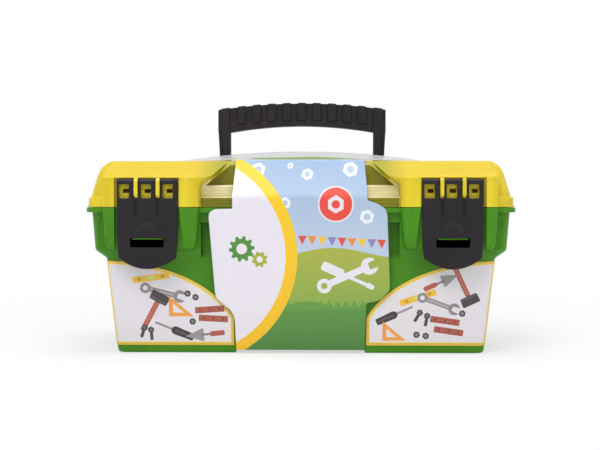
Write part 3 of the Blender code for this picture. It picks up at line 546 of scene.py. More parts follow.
@dataclass(frozen=True)
class Board:
    """The bare, unprinted side and edges of pale board or paper, with small flecks."""

    name: str = "board_back"
    colour: str = "E4E1DC"
    fleck: str = "C4BEB4"

    def material(self) -> bpy.types.Material:
        """The finish as a material."""
        graph = Graph(self.name)
        flecks = graph.spread(graph.noise(700.0, 6.0, (0.5, 1.0, 1.0)), 0.0, 1.0, 0.45, 0.75)
        tone = graph.blend(flecks, linear(self.colour), linear(self.fleck))
        graph.join(tone, graph.shader.inputs["Base Color"])
        graph.raise_surface([(graph.noise(900.0, 4.0), 0.03 * MM)])
        graph.set(Roughness=0.85, IOR=1.4)
        return graph.material


@dataclass(frozen=True)
class DrawnWire:
    """Bright drawn steel with lines along its length."""

    name: str = "drawn_wire"
    colour: str = "B9B9B6"

    def material(self) -> bpy.types.Material:
        """The finish as a material."""
        graph = Graph(self.name)
        lines = graph.noise(1800.0, 3.0, (0.02, 1.0, 1.0))
        dull = graph.blend(graph.spread(lines, 0.0, 0.5), linear(self.colour), linear("77756F"))
        graph.join(dull, graph.shader.inputs["Base Color"])
        graph.join(graph.spread(lines, 0.22, 0.42), graph.shader.inputs["Roughness"])
        graph.raise_surface([(lines, 0.01 * MM)])
        graph.set(Metallic=1.0)
        return graph.material


def dress(item: Item, *materials: bpy.types.Material) -> None:
    """Give a piece its materials, the first one for all that has no other."""
    item.data.materials.clear()
    for material in materials:
        item.data.materials.append(material)


def settle(item: Item, body: str, slot: str, *nodes: str) -> Item:
    """Let a piece ride on its body and stand for its nodes, and report it."""
    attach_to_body(item, body)
    if nodes:
        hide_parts(*nodes)
    log.info("%s on %s: %d faces", item.name, body, len(item.data.polygons))
    return item


def shell(name: str, layout: Layout, levels: Rows, radii: Sequence[float]) -> Item:
    """A moulding through levels.

    Args:
        name: Name of the solid.
        layout: The shared sizes.
        levels: Height, inset at the ends, inset at front and back, and corner radius of each level.
        radii: How softly the wall turns at each level.

    Returns:
        The solid.
    """
    rings = []
    for z, end, side, corner in eased(levels, radii):
        half_x = layout.half_length - end
        half_y = layout.half_depth - side
        rings.append([(x, y, z) for x, y in rounded_rectangle(half_x, half_y, corner)])
    return loft(name, rings)


def rounded_rectangle(half_x: float, half_y: float, radius: float, steps: int = 8) -> list[Flat]:
    """A centred rectangle with circular corners."""
    points = []
    for corner, (side_x, side_y) in enumerate(((1, 1), (-1, 1), (-1, -1), (1, -1))):
        for step in range(steps + 1):
            angle = (corner + step / steps) * math.pi / 2
            x = side_x * (half_x - radius) + radius * math.cos(angle)
            points.append((x, side_y * (half_y - radius) + radius * math.sin(angle)))
    return points


def boss_solid(
    name: str, side: int, levels: Rows, radii: Sequence[float], corners: Flat, depth: float
) -> Item:
    """A boss that stands out at the front.

    Args:
        name: Name of the solid.
        side: -1 for the left boss and 1 for the right one.
        levels: Height, inner X, outer X and front Y of each level.
        radii: How softly the boss turns at each level.
        corners: Rounding of its inner and its outer upright edge.
        depth: How far back it reaches behind its front.

    Returns:
        The solid.
    """
    back = levels[0][3] + depth
    rings = []
    for z, inner, outer, front in eased(levels, radii):
        path = [(outer, back), (outer, front), (inner, front), (inner, back)]
        ring = eased(path, [0, corners[1], corners[0], 0], 6)
        rings.append([(side * x, y, z) for x, y in ring])
    return loft(name, rings)


@dataclass
class Hinges:
    """The knuckles of the two hinges behind the box, and their pins."""

    layout: Layout
    root: float = 5 * MM
    web_share: float = 0.6
    web_gap: float = 0.06 * MM
    bore_gap: float = 0.3 * MM
    chamfer: float = 0.4 * MM

    def span(self, side: int, place: int, grow: float = 0.0) -> Flat:
        """X ends of the knuckle this many places from the middle of its hinge."""
        size = self.layout
        middle = side * size.hinge_x + place * size.knuckle_length
        half = (size.knuckle_length - size.knuckle_gap) / 2 + grow
        return middle - half, middle + half

    def knuckle(self, side: int, place: int, way: int) -> Item:
        """A knuckle with the web that carries it, above (1) or below (-1) the axis."""
        size = self.layout
        start, stop = self.span(side, place)
        near = size.hinge_z + way * (size.seam_gap / 2 + self.web_gap)
        far = size.hinge_z + way * size.knuckle_radius * self.web_share
        low, high = sorted((near, far))
        front = size.hinge_y - size.knuckle_radius - self.root
        web = block((start, front, low), (stop, size.hinge_y, high))
        barrel = rod(size.hinge_y, size.hinge_z, size.knuckle_radius, start, stop)
        return shape(barrel, Join.ADD, [web])

    def relief(self, side: int, place: int) -> Item:
        """Room for a knuckle of the other moulding."""
        size = self.layout
        start, stop = self.span(side, place, size.knuckle_gap)
        return rod(size.hinge_y, size.hinge_z, size.knuckle_radius + size.knuckle_gap, start, stop)

    def bore(self, side: int) -> Item:
        """The hole for a pin through a whole hinge."""
        size = self.layout
        reach = 3 * size.knuckle_length / 2 + OVERRUN
        middle = side * size.hinge_x
        radius = size.pin_radius + self.bore_gap
        return rod(size.hinge_y, size.hinge_z, radius, middle - reach, middle + reach)

    def pin(self, side: int) -> Item:
        """A wire pin with chamfered ends, flush with the outer knuckles."""
        size = self.layout
        reach = self.span(1, 1)[1] - size.hinge_x
        thin = size.pin_radius - self.chamfer
        ends = ((-reach, thin), (self.chamfer - reach, size.pin_radius))
        rings = []
        for x, radius in (*ends, *((-x, r) for x, r in reversed(ends))):
            ring = circle(size.hinge_y, size.hinge_z, radius)
            rings.append([(side * size.hinge_x + x, y, z) for y, z in ring])
        return loft(f"hinge_wire_{SIDE_WORDS[side]}", rings)

    def build(self) -> None:
        """Make the two pins and dress them."""
        wire = DrawnWire().material()
        for side in SIDES:
            pin = self.pin(side)
            pin.data.shade_smooth()
            pin.data.set_sharp_from_angle(angle=math.radians(30))
            dress(pin, wire)
            settle(pin, "tub", "pin_steel", f"hinge_pin_{SIDE_WORDS[side]}")


@dataclass
class Tub:
    """The green tub with its bosses, channels, tongues, feet and lower knuckles."""

    layout: Layout
    hinges: Hinges
    rim_height: float = 4 * MM
    rim_inset: float = 0.2 * MM
    rim_turn: float = 0.8 * MM
    collar_base: float = 84.5 * MM
    collar_inset: float = 4.5 * MM
    collar_base_inset: float = 7 * MM
    collar_corner: float = 9 * MM
    bend_turn: float = 2 * MM
    base_turn: float = 3.5 * MM
    base_flat: float = 6 * MM
    floor_turn: float = 3 * MM
    ledge_drop: float = 12 * MM
    ledge_bead: float = 1 * MM
    ledge_proud: float = 0.5 * MM
    ledge_root: float = 2 * MM
    recess_depth: float = 5 * MM
    panel_depth: float = 1.2 * MM
    panel_reach: float = 4.5 * MM
    panel_foot: float = 1.7 * MM
    panel_margin: float = 3 * MM
    foot_height: float = 2.5 * MM
    foot_gap: float = 106 * MM
    arch_turn: float = 1.2 * MM
    boss_drop: float = 34 * MM
    boss_slant: float = 3.2 * MM
    boss_tuck: float = 10 * MM
    boss_turn: float = 7 * MM
    boss_corners: Flat = (9 * MM, 2.5 * MM)
    outer_slant: float = 2.75 * MM
    bead_start: float = 6 * MM
    bead_stop: float = 1 * MM
    bead_outer: float = 3.4 * MM
    bead_inner: float = 9.2 * MM
    bead_width: float = 0.8 * MM
    bead_proud: float = 0.3 * MM
    bead_root: float = 1.5 * MM
    channel_spread: float = 5 * MM
    slot_top_drop: float = 47.2 * MM
    slot_width: float = 27 * MM
    tongue_height: float = 2.6 * MM
    tongue_reach: float = 2.8 * MM
    tongue_lip: float = 0.8 * MM
    tongue_root: float = 1 * MM
    tongue_gap: float = 1 * MM
    hole_height: float = 5.5 * MM
    edge: float = 0.5 * MM

    def outside(self) -> Item:
        """The tub's outer form from its floor to above its rim."""
        size = self.layout
        under_rim = size.seam - self.rim_height
        base = (size.body_base_inset, size.front_base_inset, size.body_corner)
        levels = [
            (0, base[0] + self.base_flat, base[1] + self.base_flat, base[2]),
            (0, *base),
            (size.body_top, size.body_top_inset, size.front_top_inset, size.body_corner),
            (self.collar_base, self.collar_base_inset, self.collar_inset, self.collar_corner),
            (under_rim, self.collar_inset, self.collar_inset, self.collar_corner),
            (under_rim, self.rim_inset, 0, size.rim_corner),
            (size.seam + OVERRUN, self.rim_inset, 0, size.rim_corner),
        ]
        radii = [0, self.base_turn, self.bend_turn, self.bend_turn, self.rim_turn, self.rim_turn, 0]
        return shell("tub_moulding", size, levels, radii)

    def boss(self, side: int) -> Item:
        """One boss, with a rounded inner side and a rounded base."""
        size = self.layout
        low = size.seam - self.boss_drop
        inner, outer = size.boss_inner + self.boss_slant, size.boss_outer
        levels = [
            (size.seam + OVERRUN, size.boss_inner, outer, size.boss_front),
            (low, inner, outer - self.outer_slant, size.boss_front),
            (low, inner + self.boss_tuck, outer - self.boss_tuck, size.boss_front + self.boss_tuck),
        ]
        return boss_solid("boss", side, levels, [0, self.boss_turn, 0], self.boss_corners, size.pocket_depth)

    def edge_beads(self, side: int) -> list[Item]:
        """Thin upright beads beside a latch's channel, which catch the light."""
        size = self.layout
        low = size.seam - self.boss_drop + self.bead_start
        high = size.seam - self.bead_stop
        beads = []
        for x in (size.boss_outer - self.bead_outer, size.boss_inner + self.bead_inner):
            ends = sorted((side * x, side * (x + self.bead_width)))
            front = size.boss_front - self.bead_proud
            beads.append(bead((ends[0], front, low), (ends[1], front + self.bead_root, high)))
        return beads

    def channel_foot(self, side: int) -> Item:
        """The part by which a channel widens at its inner side towards a latch's foot."""
        size = self.layout
        near = size.latch_x - size.latch_half - size.channel_gap
        low = size.seam - self.boss_drop - OVERRUN
        corners = ((near, size.seam), (near - self.channel_spread, low), (near + OVERRUN, low))
        outline = [(side * x, z) for x, z in corners]
        return prism("foot", Plane.FRONT, outline, size.boss_front - 2 * OVERRUN, size.channel_floor)

    def recess(self, extra: float) -> Item:
        """The sunk middle of the front, grown by an extra wall where one is given."""
        size = self.layout
        half = size.boss_inner + extra
        front = -size.half_depth + size.front_top_inset + extra
        top = size.seam - self.ledge_drop + extra
        outline = [
            (size.boss_front - OVERRUN, top),
            (front + self.recess_depth, top),
            (front + self.recess_depth, self.collar_base - extra),
            (front, size.body_top - extra),
            (size.boss_front - OVERRUN, size.body_top - extra),
        ]
        return prism("recess", Plane.SIDE, outline, -half, half)

    def ledge(self) -> Item:
        """The bead along the lower edge of the band over the recess."""
        size = self.layout
        low = size.seam - self.ledge_drop
        front = -size.half_depth + self.collar_inset - self.ledge_proud
        half = size.boss_inner + self.ledge_root
        return bead((-half, front, low), (half, front + self.ledge_root, low + self.ledge_bead))

    def end_panel(self, side: int) -> Item:
        """The shallow panel in the collar between a boss and the corner."""
        size = self.layout
        ends = sorted((side * (size.boss_outer - OVERRUN), side * (size.boss_outer + self.panel_reach)))
        front = -size.half_depth + self.collar_inset
        low = (ends[0], front - OVERRUN, self.collar_base + self.panel_foot)
        high = (ends[1], front + self.panel_depth, size.seam - self.rim_height - 2 * self.panel_margin)
        return block(low, high)

    def inside(self) -> Item:
        """The room inside the tub."""
        size = self.layout
        wall = size.wall
        floor = self.foot_height + wall
        corner = size.body_corner - wall
        collar, collar_corner = self.collar_inset + wall, self.collar_corner - wall
        levels = [
            (floor, size.body_base_inset + 3 * wall, size.front_base_inset + 3 * wall, corner),
            (floor, size.body_base_inset + wall, size.front_base_inset + wall, corner),
            (size.body_top + wall, size.body_top_inset + wall, size.front_top_inset + wall, corner),
            (self.collar_base + wall, self.collar_base_inset + wall, collar, collar_corner),
            (size.seam + 2 * OVERRUN, collar, collar, collar_corner),
        ]
        room = shell("room", size, levels, [0, self.floor_turn, self.bend_turn, self.bend_turn, 0])
        shape(room, Join.CUT, [self.recess(wall)])
        low = size.seam - self.boss_drop + 2 * wall
        return shape(room, Join.ADD, [size.pocket(side, low, size.seam + 2 * OVERRUN) for side in SIDES])

    def tongue(self, side: int) -> Item:
        """The catch that stands in the slot of a closed latch."""
        size = self.layout
        half = self.slot_width / 2 - self.tongue_gap
        top = size.latch_top - self.slot_top_drop - size.seam_gap
        outline = [
            (size.channel_floor + self.tongue_root, top - self.tongue_height),
            (size.channel_floor - self.tongue_lip, top - self.tongue_height),
            (size.channel_floor - self.tongue_reach, top),
            (size.channel_floor + self.tongue_root, top),
        ]
        middle = side * size.latch_x
        return prism("tongue", Plane.SIDE, outline, middle - half, middle + half)

    def mould_hole(self, side: int) -> Item:
        """The hole under a catch that lets it leave its mould."""
        size = self.layout
        half = self.slot_width / 2 - self.tongue_gap
        middle = side * size.latch_x
        top = size.latch_top - self.slot_top_drop - size.seam_gap - self.tongue_height
        low = (middle - half, size.channel_floor - self.tongue_root, top - self.hole_height)
        return block(low, (middle + half, size.channel_floor + size.pocket_depth + 2 * size.wall, top))

    def arch(self) -> Item:
        """The low gap between the two feet."""
        size = self.layout
        half = self.foot_gap / 2
        corners = [(-half, -OVERRUN), (-half, self.foot_height), (half, self.foot_height), (half, -OVERRUN)]
        outline = eased(corners, [0, self.arch_turn, self.arch_turn, 0])
        return prism("arch", Plane.FRONT, outline, -2 * size.half_depth, 2 * size.half_depth)

    def build(self) -> None:
        """Make the tub and dress it."""
        size = self.layout
        tub = self.outside()
        shape(tub, Join.ADD, [self.boss(side) for side in SIDES])
        shape(tub, Join.CUT, [self.recess(0), self.arch(), self.inside()])
        for side in SIDES:
            channel = size.channel(side, size.body_top - OVERRUN, size.seam + 2 * OVERRUN)
            shape(tub, Join.CUT, [channel, self.channel_foot(side), self.end_panel(side)])
        above = size.slab(size.seam, size.seam + 3 * OVERRUN)
        shape(tub, Join.CUT, [above, *(self.mould_hole(side) for side in SIDES)])
        shape(tub, Join.CUT, [self.hinges.relief(side, 0) for side in SIDES])
        shape(tub, Join.ADD, [self.tongue(side) for side in SIDES])
        shape(tub, Join.ADD, [self.hinges.knuckle(side, place, -1) for side in SIDES for place in SIDES])
        shape(tub, Join.CUT, [self.hinges.bore(side) for side in SIDES])
        soften(tub, self.edge, [self.ledge(), *(line for side in SIDES for line in self.edge_beads(side))])
        dress(tub, Moulded("green_plastic", "4A8F12", "3E800D", 0.34, ior=1.33).material())
        settle(tub, "tub", "tub_plastic", "tub")


@dataclass
class Lid:
    """The see-through yellow lid with its brows, niche, tray, clips and upper knuckles."""

    layout: Layout
    hinges: Hinges
    flange: float = 8 * MM
    flange_insets: Flat = (1.8 * MM, 0.7 * MM)
    lip: float = 1.4 * MM
    lip_inset: float = 1 * MM
    base_inset: float = 3.5 * MM
    front_inset: float = 5.5 * MM
    corner: float = 8 * MM
    lower_break: Point = (12 * MM, 9 * MM, 6 * MM)
    upper_break: Point = (5.2 * MM, 10.8 * MM, 12.5 * MM)
    top_inset: float = 17 * MM
    top_front_inset: float = 18 * MM
    top_corner: float = 7 * MM
    crown_inset: float = 30 * MM
    crown_corner: float = 6 * MM
    outer_turns_in_mm: tuple[float, ...] = (0, 0.4, 0.3, 1.0, 1.6, 3.5, 3.5, 2.5, 0)
    inner_turns: Flat = (2 * MM, 3 * MM)
    brow_start: float = 20 * MM
    brow_drop: float = 13.1 * MM
    brow_lean: float = 9.5 * MM
    brow_top_lean: float = 23 * MM
    brow_end: float = 3.5 * MM
    brow_sink: float = 0.3 * MM
    brow_turns: Flat = (2 * MM, 2.5 * MM)
    boss_corners: Flat = (5 * MM, 3 * MM)
    boss_depth: float = 27 * MM
    niche_base: float = 17.5 * MM
    niche_top: float = 2.5 * MM
    niche_depth: float = 14 * MM
    niche_margin: float = 4 * MM
    niche_lean: float = 25 * MM
    niche_corner: float = 1.5 * MM
    tray_half: float = 74.4 * MM
    tray_front: float = -7.4 * MM
    tray_back: float = 59.7 * MM
    tray_floor: float = 143.6 * MM
    tray_corner: float = 1.2 * MM
    pivot_drop: float = 6 * MM
    pivot_radius: float = 3.3 * MM
    clip_radius: float = 3.1 * MM
    clip_root: float = 3 * MM
    clip_gap: float = 0.4 * MM
    clip_spare: float = 0.1 * MM
    rod_radius: float = 1.7 * MM
    hole_width: float = 4.9 * MM
    hole_height: float = 3.2 * MM
    hole_drop: float = 9.6 * MM
    hole_corner: float = 0.5 * MM
    bar_radius: float = 2.2 * MM
    latch_proud: float = 2 * MM
    line_margin: float = 2 * MM
    line_root: float = 1.4 * MM
    wall_lines_in_mm: tuple[float, ...] = (1.2, 3.4, 5.6, 7.8)
    wall_line_proud: float = 0.5 * MM
    wall_line_width: float = 0.7 * MM
    flange_lines_in_mm: tuple[float, ...] = (3, 5.4)
    flange_line_sink: float = 0.3 * MM
    flange_line_root: float = 2 * MM
    flange_line_width: float = 0.6 * MM
    brow_line_drop: float = 2.4 * MM
    brow_line_ends: Flat = (4 * MM, 3 * MM)
    brow_line_proud: float = 0.3 * MM
    brow_line_width: float = 0.9 * MM
    spare: float = 1 * MM
    paint_spare: float = 0.5 * MM
    niche_back_spare: float = 0.7 * MM
    level_normal: float = 0.99
    side_normal: float = 0.3
    edge: float = 0.5 * MM

    @property
    def latch_axis(self) -> Flat:
        """Y and Z of the latches' rods."""
        y = self.layout.boss_front - self.latch_proud + self.bar_radius
        return y, self.layout.latch_top - self.bar_radius

    @property
    def niche_back(self) -> float:
        """Y of the niche's back wall."""
        return self.niche_depth - self.layout.half_depth

    def body_levels(self, inset: float) -> list[tuple[float, float, float, float]]:
        """The domed part above the flange, or its inside where an inset is given."""
        top = self.layout.lid_top
        base = self.layout.lid_base + self.flange
        levels = [(base, self.base_inset + inset, self.front_inset + inset, self.corner)]
        for drop, end, side in (self.lower_break, self.upper_break):
            levels.append((top - drop - inset / 2, end + inset, side + inset, self.corner))
        levels.append((top - inset, self.top_inset + inset, self.top_front_inset + inset, self.top_corner))
        return levels

    def outside(self) -> Item:
        """The lid's outer form without its bosses, begun below its base."""
        base = self.layout.lid_base
        corner = self.layout.rim_corner
        levels = [
            (base - OVERRUN, self.lip_inset, 0, corner),
            (base + self.lip, self.lip_inset, 0, corner),
            (base + self.lip, *self.flange_insets, corner),
            (base + self.flange, *self.flange_insets, corner),
            *self.body_levels(0),
            (self.layout.lid_top, self.crown_inset, self.crown_inset, self.crown_corner),
        ]
        return shell("lid_moulding", self.layout, levels, [r * MM for r in self.outer_turns_in_mm])

    def boss(self, side: int) -> Item:
        """One boss with the brow that slopes back above it."""
        size = self.layout
        inner, outer, front = size.boss_inner, size.boss_outer, size.boss_front
        top_outer = size.half_length - self.top_inset - self.brow_end
        levels = [
            (size.lid_base - OVERRUN, inner, outer, front),
            (size.lid_top - self.brow_start, inner, outer, front),
            (size.lid_top - self.brow_drop, inner - self.brow_lean, outer, front),
            (
                size.lid_top - self.brow_sink,
                inner - self.brow_top_lean,
                top_outer,
                self.top_front_inset - size.half_depth,
            ),
        ]
        return boss_solid("boss", side, levels, [0, *self.brow_turns, 0], self.boss_corners, self.boss_depth)

    def niche(self, extra: float) -> Item:
        """The hollow in the middle of the front, grown by an extra wall where one is given."""
        size = self.layout
        base = size.lid_base + self.niche_base - extra
        top = size.lid_top - self.niche_top + extra
        low_half = size.boss_inner - self.niche_margin + extra
        top_half = size.boss_inner - self.niche_lean + extra
        corners = [(-low_half, base), (low_half, base), (top_half, top), (-top_half, top)]
        outline = rounded_polygon(corners, self.niche_corner)
        back = -size.half_depth + self.niche_depth + extra
        return prism("niche", Plane.FRONT, outline, size.boss_front - OVERRUN, back)

    def tray(self, extra: float) -> Item:
        """The tray for the folded handle, grown by an extra wall where one is given."""
        low = (-self.tray_half - extra, self.tray_front - extra, self.tray_floor - extra)
        high = (self.tray_half + extra, self.tray_back + extra, self.layout.lid_top + OVERRUN)
        return block(low, high, self.tray_corner)

    def inside(self) -> Item:
        """The room inside the lid."""
        size = self.layout
        base = size.lid_base - 2 * OVERRUN
        levels = [
            (base, self.base_inset + size.wall, self.front_inset + size.wall, self.corner),
            *self.body_levels(size.wall),
        ]
        room = shell("room", size, levels, [0, 0, *self.inner_turns, 0])
        shape(room, Join.CUT, [self.niche(size.wall), self.tray(size.wall)])
        top = size.lid_top - self.brow_start
        return shape(room, Join.ADD, [size.pocket(side, base, top) for side in SIDES])

    def clips(self, side: int) -> list[Item]:
        """The two ribs that a latch's rod turns in."""
        size = self.layout
        y, z = self.latch_axis
        base = size.latch_top - size.finger_length
        nose = [point for point in circle(y, z, self.clip_radius) if point[1] >= z - self.clip_spare]
        root = size.channel_floor + self.clip_root
        slope = (y - self.clip_radius, base + self.clip_radius)
        outline = [(root, base), (y, base), slope, *reversed(nose), (root, z)]
        half = size.finger_gap / 2 - self.clip_gap
        return [prism("clip", Plane.SIDE, outline, x - half, x + half) for x in size.gap_middles(side)]

    def holes(self, side: int) -> list[Item]:
        """The square holes behind a latch's windows."""
        size = self.layout
        middle = size.latch_top - self.hole_drop
        half = self.hole_width / 2
        back = size.channel_floor + size.wall + self.spare
        tools = []
        for x in size.finger_middles(side):
            low, high = middle - self.hole_height / 2, middle + self.hole_height / 2
            outline = rectangle(x - half, x + half, low, high, self.hole_corner)
            tools.append(prism("hole", Plane.FRONT, outline, size.boss_front, back))
        return tools

    def front_lines(self) -> list[Item]:
        """Fine moulded lines along the front between the bosses."""
        size = self.layout
        half = size.boss_inner - self.line_margin
        wall = self.front_inset - size.half_depth
        bars = []
        for rise in self.wall_lines_in_mm:
            z = size.lid_base + self.flange + rise * MM
            high = (half, wall + self.line_root, z + self.wall_line_width)
            bars.append(bead((-half, wall - self.wall_line_proud, z), high))
        front = -size.half_depth
        for rise in self.flange_lines_in_mm:
            z = size.lid_base + rise * MM
            high = (half, front + self.flange_line_root, z + self.flange_line_width)
            bars.append(bead((-half, front + self.flange_line_sink, z), high))
        return bars

    def brow_lines(self) -> list[Item]:
        """A fine line along each brow's front edge, beside its latch."""
        size = self.layout
        top = size.lid_top - self.brow_drop - self.brow_line_drop
        front = size.boss_front
        start, stop = size.boss_inner + self.brow_line_ends[0], size.boss_outer - self.brow_line_ends[1]
        channel_inner = size.latch_x - size.latch_half - 2 * size.channel_gap
        channel_outer = size.latch_x + size.latch_half + 2 * size.channel_outer_gap
        lines = []
        for side in SIDES:
            for near, far in ((start, channel_inner), (channel_outer, stop)):
                ends = sorted((side * near, side * far))
                low = (ends[0], front - self.brow_line_proud, top)
                lines.append(bead(low, (ends[1], front + self.spare, top + self.brow_line_width)))
        return lines

    def finishes(self) -> list[Moulded]:
        """The lid's finishes: bright; streaked, whose upright streaks are partly flow marks and partly
        painted light and shade; a darker olive, partly see-through copy with painted shade; and a pale copy
        with a painted reflection.
        """
        # A3A01C is painted shade: a dark olive for the shaded inside seen through the middle of the lid's
        # front.
        smooth = {"grain_depth": 0.005 * MM, "ior": 1.36, "painted_shade": "A3A01C"}
        # The upright streaks are partly flow marks and partly painted light and shade of fine upright ribs.
        upright = {"alpha": 0.93, "glow": 0.15, "flow": 95.0, "flow_stretch": (1, 1, 0.06)}
        level = {"flow": 50.0, "flow_stretch": (0.15, 1, 1), "grain_depth": 0.005 * MM}
        return [
            Moulded("yellow_plastic", "E6C911", "DEBF0F", 0.3, alpha=0.97, glow=0.15, **smooth),
            Moulded("streaked_yellow_plastic_painted_light", "F8E138", "E2C624", 0.26, **upright, **smooth),
            # Painted shade: a darker olive copy of the lid's yellow for the shaded inside seen through it.
            Moulded("clear_yellow_plastic_painted_shade", "A19A17", "828013", 0.2, alpha=0.75, **level),
            # Painted reflection: a pale copy of the lid's yellow for the light reflected by the band under
            # the niche.
            Moulded("pale_yellow_plastic_painted_reflection", "FDF3CC", "E9DC96", 0.2, alpha=0.97, **level),
        ]

    def paint(self, lid: Item) -> None:
        """Dress the lid: bright on top, streaked below, and across the middle of its front a pale copy with a
        painted reflection on the band between flange and niche, and a darker olive, partly see-through copy
        with painted shade on the flange and in the niche.
        """
        size = self.layout
        dress(lid, *(finish.material() for finish in self.finishes()))
        # Index 2 is the darker olive copy with painted shade, index 3 the pale copy with a painted
        # reflection.
        bright, streaked, clear, painted_reflection = range(4)
        near = self.paint_spare
        brow = size.lid_top - self.brow_drop - self.spare
        flange_top = size.lid_base + self.flange
        niche_floor = size.lid_base + self.niche_base
        for face in lid.data.polygons:
            x, y, z = face.center
            between = abs(x) < size.boss_inner - self.spare and y < self.niche_back + near
            if z > niche_floor + near:
                at_back = y > self.niche_back - self.niche_back_spare
                between = between and (at_back or abs(face.normal.z) > self.level_normal)
            if between and z < size.lid_top - self.spare and abs(face.normal.x) < self.side_normal:
                face.material_index = painted_reflection if flange_top - near < z < niche_floor + near else clear
            else:
                face.material_index = streaked if z < brow else bright

    def build(self) -> None:
        """Make the lid and dress it."""
        size = self.layout
        lid = self.outside()
        shape(lid, Join.ADD, [self.boss(side) for side in SIDES])
        reach = self.tray_half + 2 * OVERRUN
        pivot = rod(0, size.lid_top - self.pivot_drop, self.pivot_radius, -reach, reach)
        shape(lid, Join.CUT, [self.niche(0), self.inside(), self.tray(0), pivot])
        base = size.lid_base - 3 * OVERRUN
        shape(lid, Join.CUT, [size.channel(side, base, size.latch_top + self.spare) for side in SIDES])
        shape(lid, Join.CUT, [size.slab(base, size.lid_base)])
        y, z = self.latch_axis
        half = size.latch_half - size.finger_width / 2
        for side in SIDES:
            shape(lid, Join.ADD, self.clips(side))
            bore = rod(y, z, self.rod_radius, side * size.latch_x - half, side * size.latch_x + half)
            shape(lid, Join.CUT, [bore, *self.holes(side)])
            shape(lid, Join.CUT, [self.hinges.relief(side, place) for place in SIDES])
            shape(lid, Join.ADD, [self.hinges.knuckle(side, 0, 1)])
            shape(lid, Join.CUT, [self.hinges.bore(side)])
        soften(lid, self.edge, [*self.front_lines(), *self.brow_lines()])
        self.paint(lid)
        settle(lid, "lid", "lid_plastic", "lid")


